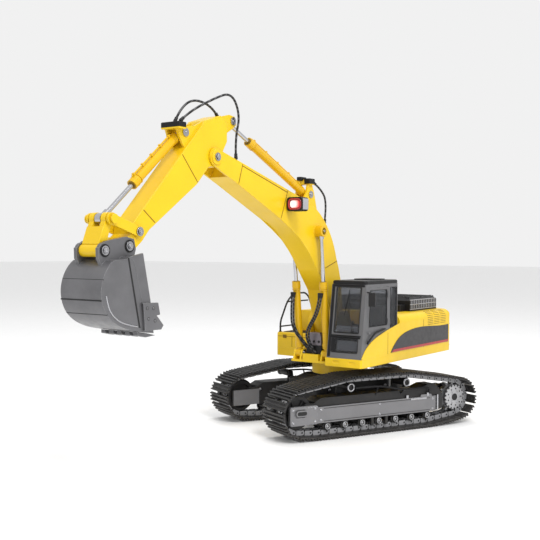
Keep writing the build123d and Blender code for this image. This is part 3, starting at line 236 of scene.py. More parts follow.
YELLOW = surface("yellow_paint", (0.76, 0.50, 0.006), 0.36, wear=(0.90, 0.70, 0.16), wear_share=0.5,
                 patch=0.05, grain=0.9, bump=0.03, coat=0.08, rounding=0.5)
CYLINDER = surface("cylinder_paint", (0.66, 0.39, 0.003), 0.34, wear=(0.85, 0.62, 0.10), patch=0.07,
                   bump=0.04, coat=0.10)
CAB_GREY = surface("cab_paint", (0.120, 0.120, 0.125), 0.42, metallic=0.1, wear=(0.34, 0.34, 0.35),
                   patch=0.08, grain=0.7, bump=0.04, coat=0.05, rounding=0.5)
BLACK_PAINT = surface("black_paint", (0.010, 0.010, 0.011), 0.40, wear=(0.10, 0.10, 0.10), patch=0.15,
                      gloss=0.2)
PANEL = surface("side_panel", (0.040, 0.038, 0.040), 0.42, wear=(0.12, 0.12, 0.12), grain=0.6, bump=0.06)
BUCKET_GREY = surface("bucket_paint", (0.150, 0.149, 0.156), 0.36, metallic=0.45, wear=(0.42, 0.42, 0.43),
                      wear_share=0.8, patch=0.16, grain=1.6, bump=0.08, rounding=0.45)
FRAME_BLACK = surface("frame_black", (0.014, 0.014, 0.015), 0.46, gloss=0.25, wear=(0.22, 0.22, 0.23),
                      patch=0.2, dust=(0.08, 0.075, 0.07))
PLATE_GREY = surface("plate_grey", (0.20, 0.198, 0.205), 0.42, metallic=0.35, wear=(0.45, 0.45, 0.47),
                     patch=0.08, grain=0.8, bump=0.05)
SILVER = surface("machined_silver", (0.42, 0.42, 0.43), 0.38, metallic=0.7, wear=(0.60, 0.60, 0.62),
                 patch=0.07, grain=0.8, bump=0.05)
BRIGHT = surface("bright_steel", (0.42, 0.42, 0.44), 0.28, metallic=1.0, wear=(0.80, 0.80, 0.82), patch=0.08,
                 grain=0.5, bump=0.03)
CHROME = surface("rod_chrome", (0.50, 0.50, 0.52), 0.20, metallic=1.0, patch=0.04, grain=0.4, bump=0.01,
                 spread=0.05, stretch=(0.3, 0.3, 3.0))
PLASTIC = surface("black_plastic", (0.012, 0.012, 0.013), 0.48, grain=0.5, bump=0.10, wear=(0.06, 0.06, 0.06))
LIGHT_TRIM = surface("light_grey_trim", (0.34, 0.34, 0.36), 0.45, grain=0.6, bump=0.05, wear=(0.6, 0.6, 0.62))
MAUVE = surface("valve_grey", (0.20, 0.18, 0.20), 0.40, metallic=0.5, grain=0.8, bump=0.08,
                wear=(0.4, 0.38, 0.4))
RED = surface("red_stripe", (0.36, 0.010, 0.010), 0.35, grain=0.6, bump=0.03, coat=0.3,
              wear=(0.6, 0.08, 0.06))
SEAM = surface("seam_shade", (0.20, 0.115, 0.004), 0.55, grain=0.5, bump=0.25, wear=(0.40, 0.26, 0.03))
GROOVE = surface("dark_groove", (0.018, 0.018, 0.018), 0.6, grain=0.5, bump=0.1)
SEAT = surface("seat_vinyl", (0.028, 0.028, 0.030), 0.55, grain=0.7, bump=0.3)


def hose_material():
    """Black rubber in a spiral wrap, with a painted highlight along the wrap's ridges."""
    made = surface("hose_rubber", (0.010, 0.010, 0.011), 0.45, grain=0.4, bump=0.08, rounding=0.1)
    tree = made.node_tree
    shader = tree.nodes["Principled BSDF"]
    wave = node(tree, "ShaderNodeTexWave", bands_direction="DIAGONAL")
    wave.inputs["Scale"].default_value = 120.0
    wave.inputs["Distortion"].default_value = 0.6
    tree.links.new(object_place(tree), wave.inputs["Vector"])
    base = shader.inputs["Base Color"].links[0].from_socket
    # Painted highlight: the wrap's ridges are coloured lighter to stand for the light they catch.
    painted_ridge_highlight = remap(tree, wave.outputs["Fac"], 0.6, 0.95, 0.0, 1.0)
    tree.links.new(blend_colour(tree, painted_ridge_highlight, base, (0.085, 0.085, 0.09)), shader.inputs["Base Color"])
    relief = node(tree, "ShaderNodeBump")
    relief.inputs["Strength"].default_value = 0.6
    relief.inputs["Distance"].default_value = 0.5 * MM
    tree.links.new(wave.outputs["Fac"], relief.inputs["Height"])
    tree.links.new(relief.outputs["Normal"], shader.inputs["Normal"])
    return made


def glass_material():
    """Lightly smoked pane with faint smears."""
    made, tree, shader = new_material("smoked_glass")
    shader.inputs["Base Color"].default_value = (0.40, 0.41, 0.43, 1.0)
    shader.inputs["Transmission Weight"].default_value = 0.94
    shader.inputs["IOR"].default_value = 1.05
    shader.inputs["Coat Weight"].default_value = 0.12
    shader.inputs["Coat Roughness"].default_value = 0.03
    smears = noise(tree, object_place(tree), 12.0, 6.0)
    tree.links.new(remap(tree, smears, 0.35, 0.75, 0.01, 0.12), shader.inputs["Roughness"])
    return made


def track_material():
    """Black shoes, and grey on the sides of the link plates near each chain's middle."""
    made = surface("track_steel", (0.016, 0.016, 0.017), 0.42, metallic=0.2, wear=(0.30, 0.30, 0.31),
                   wear_share=0.8, patch=0.2, grain=0.9, bump=0.12, rounding=0.3, dust=(0.09, 0.08, 0.07))
    tree = made.node_tree
    shader = tree.nodes["Principled BSDF"]
    base = shader.inputs["Base Color"].links[0].from_socket
    across = maths(tree, "SUBTRACT", dot_product(tree, object_place(tree), WHEEL_AXIS),
                   AXIS_FLOOR.dot(WHEEL_AXIS))
    off = maths(tree, "SUBTRACT", maths(tree, "ABSOLUTE", across), CHAIN_Y * MM)
    sideways = maths(tree, "ABSOLUTE", dot_product(tree, face_normal(tree), WHEEL_AXIS))
    plates = product(tree, remap(tree, maths(tree, "ABSOLUTE", off), 0.0081, 0.0083, 1.0, 0.0),
                     remap(tree, sideways, 0.5, 0.8, 0.0, 1.0))
    tree.links.new(blend_colour(tree, plates, base, (0.30, 0.30, 0.31)), shader.inputs["Base Color"])
    return made


def glow_material(name, middle, edge, centre, reach, strength):
    """A lit lens: its middle colour fades to the edge colour over reach, in mm, with a faint grain."""
    made, tree, shader = new_material(name)
    place = object_place(tree)
    away = node(tree, "ShaderNodeVectorMath", operation="DISTANCE")
    tree.links.new(place, away.inputs[0])
    away.inputs[1].default_value = centre
    fade = remap(tree, away.outputs["Value"], 0.25 * reach * MM, reach * MM, 0.0, 1.0)
    tone = blend_colour(tree, fade, middle, edge)
    grain = remap(tree, noise(tree, place, 1.2, 3.0), 0.3, 0.7, 0.0, 0.25)
    tone = blend_colour(tree, grain, tone, edge)
    tree.links.new(tone, shader.inputs["Base Color"])
    tree.links.new(tone, shader.inputs["Emission Color"])
    shader.inputs["Emission Strength"].default_value = strength
    shader.inputs["Roughness"].default_value = 0.2
    return made


HOSE = hose_material()
GLASS = glass_material()
TRACK = track_material()
LENS = glow_material("lamp_lens", (1.0, 0.92, 0.92), (0.55, 0.05, 0.07), house(137.0, 21.5, 256.0), 7.5, 0.9)
LAMP_RED = glow_material("lamp_red", (0.42, 0.03, 0.04), (0.25, 0.01, 0.02), house(137.0, 21.0, 256.0), 12.0,
                         0.05)

CAD_FINISH = {
    YELLOW: ("deck", "body_shell", "toolbox", "counterweight", "boom", "stick", "bucket_link", "rocker_arms"),
    CYLINDER: ("boom_cylinder_barrels", "stick_cylinder_barrel", "bucket_cylinder_barrel"),
    CAB_GREY: ("cab_shell", "cab_door"),
    BLACK_PAINT: ("cab_roof", "hood_box"),
    PANEL: ("side_panels",),
    BUCKET_GREY: ("bucket", "bucket_cutters"),
    GLASS: ("cab_glass", "door_glass"),
    TRACK: ("track_links_left", "track_links_right"),
    FRAME_BLACK: ("car_body", "swing_bearing", "track_frame_left", "track_frame_right", "final_drives",
                  "idler_left", "idler_right", "carrier_rollers_front", "carrier_rollers_rear",
                  *(f"lower_rollers_{i}" for i in range(1, 8))),
    PLATE_GREY: ("track_guards",),
    SILVER: ("sprocket_left", "sprocket_right", "slew_motor"),
    BRIGHT: ("deck_pins", "boom_pins", "stick_pins", "bucket_pins"),
    GROOVE: ("track_pins",),
    CHROME: ("boom_cylinder_rods", "stick_cylinder_rod", "bucket_cylinder_rod"),
    HOSE: ("boom_hose", "stick_hose"),
    PLASTIC: ("handrails", "mirror", "battery_pack", "control_board", "boom_lamp"),
    SEAT: ("cab_interior",),
}
for finish, names in CAD_FINISH.items():
    for name in names:
        mesh = frame["nodes"][name].data
        mesh.materials.clear()
        mesh.materials.append(finish)


# ---------------------------------------------------------------- mesh helpers
class Builder:
    """Collects solids in one mesh, which becomes one piece."""

    def __init__(self, place):
        self.place = place
        self.mesh = bmesh.new()

    def prism(self, outline, low, high, along="y"):
        """Outline extruded between two values: along y it is (x, z), along x (y, z), along z (x, y)."""
        rings = []
        for value in (low, high):
            ring = []
            for a, b in outline:
                point = {"y": (a, value, b), "x": (value, a, b), "z": (a, b, value)}[along]
                ring.append(self.mesh.verts.new(self.place(*point)))
            rings.append(ring)
        self.mesh.faces.new(rings[0])
        self.mesh.faces.new(rings[1])
        count = len(outline)
        for i in range(count):
            j = (i + 1) % count
            self.mesh.faces.new((rings[0][i], rings[0][j], rings[1][j], rings[1][i]))

    def box(self, x, y, z):
        """A box between (low, high) pairs."""
        self.prism([(x[0], z[0]), (x[1], z[0]), (x[1], z[1]), (x[0], z[1])], y[0], y[1])

    def rings(self, stations, sides):
        """Skin a row of (centre, radius) stations with round sections across the line they make."""
        centres = [Vector(self.place(*centre)) for centre, _ in stations]
        made = []
        normal = None
        for i, (centre, (_, radius)) in enumerate(zip(centres, stations)):
            before = centres[max(0, i - 1)]
            after = centres[min(len(centres) - 1, i + 1)]
            direction = (after - before).normalized()
            if normal is None:
                normal = direction.orthogonal().normalized()
            normal = (normal - direction * normal.dot(direction)).normalized()
            across = direction.cross(normal)
            ring = []
            for k in range(sides):
                turn = 2 * math.pi * k / sides
                spoke = normal * math.cos(turn) + across * math.sin(turn)
                ring.append(self.mesh.verts.new(centre + spoke * radius * MM))
            made.append(ring)
        for first, second in zip(made, made[1:]):
            for k in range(sides):
                j = (k + 1) % sides
                self.mesh.faces.new((first[k], first[j], second[j], second[k]))
        self.mesh.faces.new(made[0])
        self.mesh.faces.new(made[-1])

    def tube(self, points, radius, sides=12):
        """A round tube along the smooth line that the points control."""
        self.rings([(p, radius) for p in spline_points(points)], sides)

    def bead(self, points, radius, sides=8):
        """A round bead with a corner at every point."""
        self.rings([(p, radius) for p in points], sides)

    def closed_bead(self, points, radius, sides=8):
        """A round bead that comes back to its first point."""
        self.bead([*points, points[0]], radius, sides)

    def bar(self, a, b, radius, sides=16):
        """A straight round bar."""
        self.rings([(a, radius), (b, radius)], sides)

    def bolt(self, at, out, radius=1.3, height=0.9, sides=6):
        """A bolt head with a crowned top, standing out from the surface on a washer."""
        at = Vector(at)
        out = Vector(out).normalized()
        steps = ((0.0, radius * 1.35), (0.25, radius * 1.35))
        self.rings([(at + out * d, r) for d, r in steps], 16)
        head = ((0.2, radius), (height * 0.85, radius), (height, radius * 0.8))
        self.rings([(at + out * d, r) for d, r in head], sides)

    def finish(self, name, material, body, slot=None, bevel=0.2, parent=True):
        """Turn the collected solids into a piece; without parent it is left attached to no body."""
        bmesh.ops.recalc_face_normals(self.mesh, faces=self.mesh.faces)
        data = bpy.data.meshes.new(name)
        self.mesh.to_mesh(data)
        self.mesh.free()
        piece = bpy.data.objects.new(name, data)
        bpy.context.scene.collection.objects.link(piece)
        data.materials.append(material)
        for face in data.polygons:
            face.use_smooth = True
        data.set_sharp_from_angle(angle=SHARP_ANGLE)
        if bevel:
            soft = piece.modifiers.new("soft_edges", "BEVEL")
            soft.width = bevel * MM
            soft.segments = 2
            soft.limit_method = "ANGLE"
            soft.angle_limit = SHARP_ANGLE
            soft.harden_normals = False
        if parent:
            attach(piece, body)
        return piece


def spline_points(points):
    """Points along the smooth NURBS line that the given points control."""
    curve = bpy.data.curves.new("route", "CURVE")
    curve.dimensions = "3D"
    curve.resolution_u = 10
    spline = curve.splines.new("NURBS")
    spline.points.add(len(points) - 1)
    for control, point in zip(spline.points, points):
        control.co = (*point, 1.0)
    spline.order_u = 3
    spline.use_endpoint_u = True
    holder = bpy.data.objects.new("route", curve)
    line = bpy.data.meshes.new_from_object(holder)
    found = [tuple(vertex.co) for vertex in line.vertices]
    bpy.data.meshes.remove(line)
    bpy.data.objects.remove(holder)
    bpy.data.curves.remove(curve)
    return found


# ---------------------------------------------------------------- undercarriage fittings
ROLLERS = (68.5, 45.0, 21.5, -2.0, -25.5, -49.0, -72.5)
ROLLER_Z = 12.3
CARRIERS = ((37.7, 53.2), (-41.2, 53.4))
SPROCKET = (-116.0, 30.4)
IDLER = (105.4, 29.8)
FRAME_FACE = CHAIN_Y + 10.3
PLATE_FACE = CHAIN_Y + 12.5
YOKE_FACE = CHAIN_Y + 14.4
SIDES = (("left", 1), ("right", -1))


def around(centre, radius, y, count, share=0.0):
    """Points spread evenly round an (x, z) centre, the first one a share of a step on."""
    made = []
    for k in range(count):
        turn = 2 * math.pi * (k + share) / count
        made.append((centre[0] + radius * math.cos(turn), y, centre[1] + radius * math.sin(turn)))
    return made


def step_rails():
    """A bent grab rail over each track frame, on two feet."""
    rail = Builder(tracks)
    for _, s in SIDES:
        y = s * (PLATE_FACE + 2.6)
        rail.tube([(33.0, s * (FRAME_FACE + 4.6), 52.6), (30.0, y, 52.8), (0.0, y, 52.6), (-16.0, y, 49.6),
                   (-32.0, y, 46.3), (-50.0, y, 46.0), (-70.0, y, 45.8),
                   (-74.0, s * (PLATE_FACE + 0.6), 44.0), (-74.6, s * PLATE_FACE, 38.6)], 1.15)
        for x, z in ((-34.0, 46.2), (2.0, 52.4)):
            rail.tube([(x, y, z), (x, s * (FRAME_FACE + 2.0), z - 4.0), (x, s * (FRAME_FACE - 0.6), 41.5)],
                      0.95)
    rail.finish("step_rails", BLACK_PAINT, "undercarriage", "black_paint", bevel=0)


def plate_details():
    """End bar, clips, bolts and dark lines on each grey side plate."""
    bright = Builder(tracks)
    dark = Builder(tracks)
    for _, s in SIDES:
        face = s * PLATE_FACE
        out = (0.0, s, 0.0)
        bright.box((-88.4, -86.2), (s * (PLATE_FACE - 2.2), s * (PLATE_FACE + 0.7)), (17.8, 36.0))
        bright.box((-70.5, -47.0), (face, s * (PLATE_FACE + 0.6)), (32.0, 34.2))
        for x, z in ((-42.1, 37.0), (-72.8, 38.0)):
            bright.box((x - 1.6, x + 1.6), (s * (PLATE_FACE - 1.4), s * (PLATE_FACE + 0.5)),
                       (z - 2.6, z + 1.4))
        for x in (-80.0, -2.0, 77.6):
            for z in (20.0, 31.6):
                bright.bolt((x, face, z), out, 1.2, 0.9)
        for z in (19.0, 33.0):
            dark.box((-76.0, 74.0), (face, s * (PLATE_FACE + 0.25)), (z - 0.35, z + 0.35))
        for x in (7.3, -12.5):
            dark.box((x - 1.6, x + 1.6), (s * (PLATE_FACE - 3.2), s * (PLATE_FACE - 0.4)), (7.6, 18.0))
    bright.finish("plate_fittings", BRIGHT, "undercarriage", "silver")
    dark.finish("plate_lines", FRAME_BLACK, "undercarriage", "frame_black", bevel=0.1)


def stadium(x, z, length, width, steps=8):
    """A slot's outline: two half rounds joined by straight sides."""
    reach = (length - width) / 2
    loop = []
    for side, start in ((1, -90), (-1, 90)):
        for k in range(steps + 1):
            turn = math.radians(start + 180 * k / steps)
            loop.append((x + side * reach + width / 2 * math.cos(turn), z + width / 2 * math.sin(turn)))
    return loop


def yoke_details():
    """Slots, adjuster screws and bolts on the blocks that hold the idlers."""
    bright = Builder(tracks)
    dark = Builder(tracks)
    hole = Builder(tracks)
    for _, s in SIDES:
        out = (0.0, s, 0.0)
        dark.prism(stadium(IDLER[0] - 2.0, IDLER[1], 15.0, 7.0), s * (YOKE_FACE - 0.4), s * (YOKE_FACE + 0.7))
        hole.prism(stadium(IDLER[0] - 2.0, IDLER[1], 12.0, 4.2), s * (YOKE_FACE - 0.3), s * (YOKE_FACE + 0.8))
        for x in (86.6, 114.6):
            for z in (20.0, 34.2):
                bright.bolt((x, s * YOKE_FACE, z), out, 1.1, 0.8)
        bright.bar((82.0, s * (FRAME_FACE + 1.2), 27.4), (96.6, s * (FRAME_FACE + 1.2), 27.4), 1.6)
        for k in range(7):
            x = 83.0 + 1.9 * k
            bright.bar((x, s * (YOKE_FACE - 0.9), 27.4 + 8.4), (x + 1.0, s * (YOKE_FACE - 0.9), 27.4 + 8.4),
                       1.1, 12)
    bright.finish("yoke_fittings", BRIGHT, "undercarriage", "pin_steel", bevel=0.12)
    dark.finish("yoke_slot_rims", PLATE_GREY, "undercarriage", "silver", bevel=0.3)
    hole.finish("yoke_slots", GROOVE, "undercarriage", "frame_black", bevel=0.1)


def roller_ends():
    """Bright rings with a hex screw on the ends of the lower roller shafts."""
    bright = Builder(tracks)
    for _, s in SIDES:
        for x in ROLLERS:
            bright.closed_bead(around((x, ROLLER_Z), 2.9, s * (FRAME_FACE + 1.7), 18), 0.6)
            bright.bolt((x, s * (FRAME_FACE + 1.2), ROLLER_Z), (0.0, s, 0.0), 1.2, 0.9)
            bright.bar((x, s * (CHAIN_Y - 11.5), ROLLER_Z), (x, s * (CHAIN_Y - 12.3), ROLLER_Z), 3.2, 20)
    bright.finish("roller_shaft_ends", SILVER, "undercarriage", "silver", bevel=0.12)


def wheel_details():
    """Screws and marks on the sprockets, spokes on the idlers, rings on the carrier ends."""
    for label, s in SIDES:
        face = s * (CHAIN_Y + 10.4)
        bright = Builder(tracks)
        dark = Builder(tracks)
        for at in around(SPROCKET, 10.1, face, 9, 0.5):
            dark.bar(at, (at[0], face + s * 0.22, at[2]), 0.9, 12)
        for at in around(SPROCKET, 7.9, face, 6):
            bright.bolt(at, (0.0, s, 0.0), 0.75, 0.7)
        dark.bar((SPROCKET[0], face - s * 0.3, SPROCKET[1]), (SPROCKET[0], face + s * 0.25, SPROCKET[1]),
                 4.2, 24)
        bright.finish(f"sprocket_screws_{label}", BRIGHT, f"sprocket_{label}", "pin_steel", bevel=0.08)
        dark.finish(f"sprocket_marks_{label}", GROOVE, f"sprocket_{label}", "frame_black", bevel=0.05)
        web = Builder(tracks)
        middle = s * (CHAIN_Y + 6.4)
        for hub, rim in zip(around(IDLER, 7.0, middle, 6), around(IDLER, 14.0, middle, 6)):
            web.bar(hub, rim, 0.9, 10)
        web.finish(f"idler_spokes_{label}", FRAME_BLACK, f"idler_{label}", "frame_black", bevel=0.05)
    for body, (x, z) in zip(("carriers_front", "carriers_rear"), CARRIERS):
        ring = Builder(tracks)
        for _, s in SIDES:
            ring.closed_bead(around((x, z), 4.0, s * (CHAIN_Y + 12.0), 24), 1.0)
        ring.finish(f"{body}_rings", BRIGHT, body, "pin_steel", bevel=0)


def car_body_details():
    """Bolts round the turntable and on the car body, and its weld beads."""
    bright = Builder(tracks)
    weld = Builder(tracks)
    for k in range(16):
        turn = 2 * math.pi * k / 16
        bright.bolt((29.8 * math.cos(turn), 29.8 * math.sin(turn), 59.0), (0.0, 0.0, 1.0), 0.9, 0.8)
    for s in (1, -1):
        for x in (40.0, -40.0):
            for z in (32.0, 45.0):
                bright.bolt((x, s * 38.0, z), (0.0, s, 0.0), 1.4, 1.0)
        for z in (31.0, 46.0):
            for y in (16.0, -16.0):
                bright.bolt((s * 56.0, y, z), (s, 0.0, 0.0), 1.4, 1.0)
        weld.tube([(s * 40.0, -38.0, 52.0), (s * 40.0, 0.0, 52.0), (s * 40.0, 38.0, 52.0)], 0.5, 8)
        for x in (80.0, 40.0, -40.0, -64.0):
            bright.bolt((x, s * (CHAIN_Y - 10.3), 36.0), (0.0, -s, 0.0), 1.3, 1.0)
    bright.finish("car_body_bolts", BRIGHT, "undercarriage", "pin_steel", bevel=0.08)
    weld.finish("car_body_welds", FRAME_BLACK, "undercarriage", "frame_black", bevel=0)


# ---------------------------------------------------------------- house fittings
SIDE_Y = 74.5
DECK_TOP = 86.6
BODY_TOP = 131.0
SHOULDER_R = 9.0
LOUVRE_X = (-143.0, -124.0, -105.0)


def body_lines():
    """Seams and louvres of the engine house, and the red stripe under each side panel."""
    seams = Builder(house)
    slats = Builder(house)
    stripe = Builder(house)
    for s in (1, -1):
        face = s * (SIDE_Y + 0.15)
        seams.box((-76.95, -76.25), (s * (SIDE_Y - 0.3), face), (DECK_TOP + 1.0, BODY_TOP - SHOULDER_R))
        seams.box((17.9, 18.5), (s * (SIDE_Y - 0.3), face), (DECK_TOP + 1.0, 112.4))
        stripe.prism([(-151.0, 88.7), (9.4, 88.7), (4.6, 91.7), (-151.0, 91.7)], s * (SIDE_Y + 0.45),
                     s * (SIDE_Y + 0.75))
        for k in range(4):
            z = 114.6 + 2.1 * k
            for x in LOUVRE_X:
                slats.box((x, x + 16.0), (s * (SIDE_Y - 0.2), s * (SIDE_Y + 0.2)), (z - 0.3, z + 0.3))
        for k in range(5):
            turn = math.radians(8 + 16 * k)
            y = SIDE_Y - SHOULDER_R + (SHOULDER_R + 0.1) * math.cos(turn)
            z = BODY_TOP - SHOULDER_R + (SHOULDER_R + 0.1) * math.sin(turn)
            for x in LOUVRE_X:
                slats.bar((x, s * y, z), (x + 16.0, s * y, z), 0.32, 8)
    seams.box((-153.0, -72.0), (-0.3, 0.3), (BODY_TOP - 0.2, BODY_TOP + 0.15))
    seams.finish("body_seams", SEAM, "house", "body_yellow", bevel=0.05)
    slats.finish("body_louvres", SEAM, "house", "panel_dark", bevel=0.05)
    stripe.finish("panel_stripes", RED, "house", "panel_dark", bevel=0.05)


def swoosh_trim():
    """A shallow raised lip along the sweeping edge below the cab door."""
    lip = Builder(house)
    lip.tube([(79.0, SIDE_Y - 0.3, 87.2), (72.2, SIDE_Y - 0.3, 95.2), (56.3, SIDE_Y - 0.3, 104.7),
              (37.6, SIDE_Y - 0.3, 110.5), (13.2, SIDE_Y - 0.3, 115.9), (-12.0, SIDE_Y - 0.3, 120.8)], 0.7, 8)
    lip.finish("swoosh_lip", YELLOW, "house", "body_yellow", bevel=0)


def tail_details():
    """Bands and lamps on the counterweight, and the lifting eyes."""
    band = Builder(house)
    eyes = Builder(house)
    lamps = Builder(house)
    radius = (SIDE_Y ** 2 + 29.9 ** 2) / (2 * 29.9)
    middle = -185.0 + radius
    spread = math.asin(SIDE_Y / radius)

    def tail(share, z, proud=0.0):
        turn = spread * share
        return (middle - (radius + proud) * math.cos(turn), (radius + proud) * math.sin(turn), z)

    for z in (84.0, 112.0):
        band.bead([tail(k / 8 - 1, z, 0.05) for k in range(17)], 0.45)
    for share in (-0.72, 0.72):
        lamps.tube([tail(share - 0.08, 98.0, 0.2), tail(share, 98.0, 0.4), tail(share + 0.08, 98.0, 0.2)],
                   2.1, 14)
    for y in (-34.0, 34.0):
        eyes.tube([(-168.0, y, 130.4), (-168.0, y, 134.0), (-165.0, y, 136.0), (-162.0, y, 134.0),
                   (-162.0, y, 130.4)], 1.0, 10)
    band.finish("tail_bands", SEAM, "house", "body_yellow", bevel=0)
    eyes.finish("tail_eyes", BLACK_PAINT, "house", "black_paint", bevel=0)
    lamps.finish("tail_lamps", LAMP_RED, "house", "lamp_plastic", bevel=0)


def hood_details():
    """Grille bars, side slats and bolts on the dark engine hood."""
    bars = Builder(house)
    for k in range(14):
        x = -147.0 + 5.2 * k
        bars.box((x - 0.4, x + 0.4), (-40.0, 48.0), (147.9, 148.5))
    for y in (-42.0, 50.0):
        bars.box((-150.0, -76.0), (y - 0.6, y + 0.6), (147.9, 148.7))
    for x in (-70.0, -66.0, -62.0):
        bars.box((x - 0.5, x + 0.5), (-36.0, 46.0), (138.9, 139.4))
    bars.finish("hood_grille", PLASTIC, "house", "black_plastic", bevel=0.1)
    _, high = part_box("hood_box")
    side = (high.y - AXIS_FLOOR.y) / MM
    slats = Builder(house)
    for k in range(15):
        x = -147.0 + 5.0 * k
        slats.box((x - 0.5, x + 0.5), (side - 0.3, side + 0.5), (134.0, 144.6))
    for z in (133.4, 139.4, 145.0):
        slats.box((-150.0, -74.0), (side - 0.3, side + 0.7), (z - 0.4, z + 0.4))
    slats.finish("hood_side_slats", LIGHT_TRIM, "house", "black_plastic", bevel=0.12)
    bright = Builder(house)
    for x in (-148.0, -112.0, -78.0):
        for y in (-46.0, 53.4):
            bright.bolt((x, y, 147.6), (0.0, 0.0, 1.0), 1.0, 0.8)
    bright.finish("hood_bolts", BLACK_PAINT, "house", "black_paint", bevel=0.08)


def toolbox_details():
    """Lid seams, latches and anti-slip pads beside the boom."""
    pads = Builder(house)
    seams = Builder(house)
    for x0 in (-6.0, 9.5):
        pads.box((x0, x0 + 12.0), (-68.0, -36.0), (105.3, 105.9))
        for i in range(5):
            y = -65.0 + 6.5 * i
            pads.box((x0 + 1.0, x0 + 11.0), (y, y + 1.4), (105.8, 106.3))
    seams.box((27.8, 28.25), (-72.0, -30.6), (100.4, 101.0))
    seams.box((27.8, 28.25), (-51.7, -51.1), (88.0, 100.6))
    for y in (-62.0, -41.0):
        seams.box((27.8, 28.9), (y - 2.4, y + 2.4), (98.6, 102.6))
    pads.finish("step_pads", PLASTIC, "house", "black_plastic", bevel=0.1)
    seams.finish("toolbox_latches", SEAM, "house", "body_yellow", bevel=0.08)


def rounded_loop(y, z, radius, steps=4):
    """Corner-rounded closed outline in the plane across X: (y, z) pairs give the low and high sides."""
    loop = []
    corners = ((y[1] - radius, z[1] - radius, 0), (y[0] + radius, z[1] - radius, 90),
               (y[0] + radius, z[0] + radius, 180), (y[1] - radius, z[0] + radius, 270))
    for cy, cz, start in corners:
        for k in range(steps + 1):
            turn = math.radians(start + 90 * k / steps)
            loop.append((cy + radius * math.cos(turn), cz + radius * math.sin(turn)))
    return loop


CAB_FRONT = ((80.1, 86.6), (68.7, 168.6))
CAB_SIDE = 73.95


def cab_front_x(z):
    """X of the leaning front of the cab at this height."""
    (x0, z0), (x1, z1) = CAB_FRONT
    return x0 + (x1 - x0) * (z - z0) / (z1 - z0)


def front_strip(piece, y, z, back, proud):
    """A strip that lies along the leaning front, from back to proud of it."""
    piece.prism([(cab_front_x(z[0]) + back, z[0]), (cab_front_x(z[1]) + back, z[1]),
                 (cab_front_x(z[1]) + proud, z[1]), (cab_front_x(z[0]) + proud, z[0])], *y)


def cab_details():
    """Window rubbers, door rail, wiper, dashboard, dark trim, grab bar, mirror glass and joysticks."""
    rubber = Builder(house)
    for y, z in (((37.0, 68.0), (115.2, 165.2)), ((35.0, 68.0), (93.6, 108.6))):
        loop = rounded_loop((y[0] - 0.3, y[1] + 0.3), (z[0] - 0.3, z[1] + 0.3), 1.4)
        rubber.closed_bead([(cab_front_x(b) + 0.05, a, b) for a, b in loop], 0.55)
    side_window = ((-4.0, 118.0), (12.0, 118.0), (12.0, 164.5), (-4.0, 164.5))
    rubber.closed_bead([(x, CAB_SIDE, z) for x, z in side_window], 0.5)
    rubber.finish("cab_window_rubbers", PLASTIC, "house", "black_plastic", bevel=0)

    door = Builder(house)
    door_window = ((20.5, 121.5), (62.5, 121.5), (59.5, 162.0), (20.5, 162.0))
    door.closed_bead([(x, CAB_SIDE, z) for x, z in door_window], 0.5)
    door.tube([(68.6, 75.6, 103.6), (62.0, 75.9, 108.6), (53.7, 75.9, 113.0), (50.0, 75.9, 114.4),
               (38.0, 75.9, 116.0), (27.5, 75.6, 117.4)], 1.15, 10)
    for x, z in ((66.0, 105.6), (44.0, 115.3), (29.0, 117.2)):
        door.bar((x, 73.8, z), (x, 75.8, z), 0.8, 10)
    door.finish("door_rail", PLASTIC, "door", "black_plastic", bevel=0)

    wiper = Builder(house)
    low = (cab_front_x(117.0) + 0.8, 60.0, 117.0)
    high = (cab_front_x(150.0) + 0.8, 52.0, 150.0)
    wiper.tube([low, (cab_front_x(132.0) + 1.4, 57.0, 132.0), high], 0.45, 8)
    wiper.tube([(cab_front_x(134.0) + 0.5, 49.0, 134.0), high, (cab_front_x(162.0) + 0.5, 53.6, 162.0)], 0.5,
               8)
    wiper.bar((cab_front_x(116.0) - 0.2, 60.2, 116.0), (cab_front_x(116.0) + 1.3, 60.2, 116.0), 1.6, 14)
    wiper.finish("wiper", PLASTIC, "house", "black_plastic", bevel=0)

    light = Builder(house)
    front_strip(light, (41.0, 67.6), (95.0, 106.0), -3.0, -2.2)
    front_strip(light, (38.0, 67.6), (115.6, 122.4), -3.0, -2.2)
    light.finish("cab_dash", LIGHT_TRIM, "house", "cab_grey", bevel=0.5)

    trim = Builder(house)
    for y, z in (((30.6, 34.2), (88.0, 167.0)), ((34.2, 71.0), (109.0, 110.6)),
                 ((30.6, 72.0), (165.8, 168.2)), ((34.2, 40.4), (94.0, 108.2))):
        narrow = z[1] - z[0] < 3.0
        front_strip(trim, y, z, -0.5, 0.6 if narrow else 0.35)
    trim.finish("cab_black_trim", BLACK_PAINT, "house", "black_paint", bevel=0.3)

    grab = Builder(house)
    grab.tube([(cab_front_x(111.8) - 0.3, 33.0, 111.8), (cab_front_x(111.8) + 1.8, 33.8, 111.8),
               (cab_front_x(111.8) + 2.0, 50.0, 111.8), (cab_front_x(111.8) + 1.8, 70.0, 111.8),
               (cab_front_x(111.8) - 0.3, 70.8, 111.8)], 0.9, 10)
    grab.finish("cab_front_bar", BLACK_PAINT, "house", "black_paint", bevel=0)

    pane = Builder(house)
    pane.box((70.3, 70.7), (79.6, 86.2), (146.0, 159.0))
    pane.finish("mirror_glass", CHROME, "house", "rod_chrome", bevel=0.1)

    sticks = Builder(house)
    for y in (38.6, 65.4):
        sticks.tube([(34.0, y, 112.0), (36.0, y, 116.0), (36.6, y, 122.0)], 0.8, 8)
        sticks.rings([((36.6, y, 121.6), 1.0), ((36.8, y, 123.6), 1.7), ((36.9, y, 125.0), 1.2)], 12)
    sticks.finish("cab_joysticks", PLASTIC, "house", "black_plastic", bevel=0)


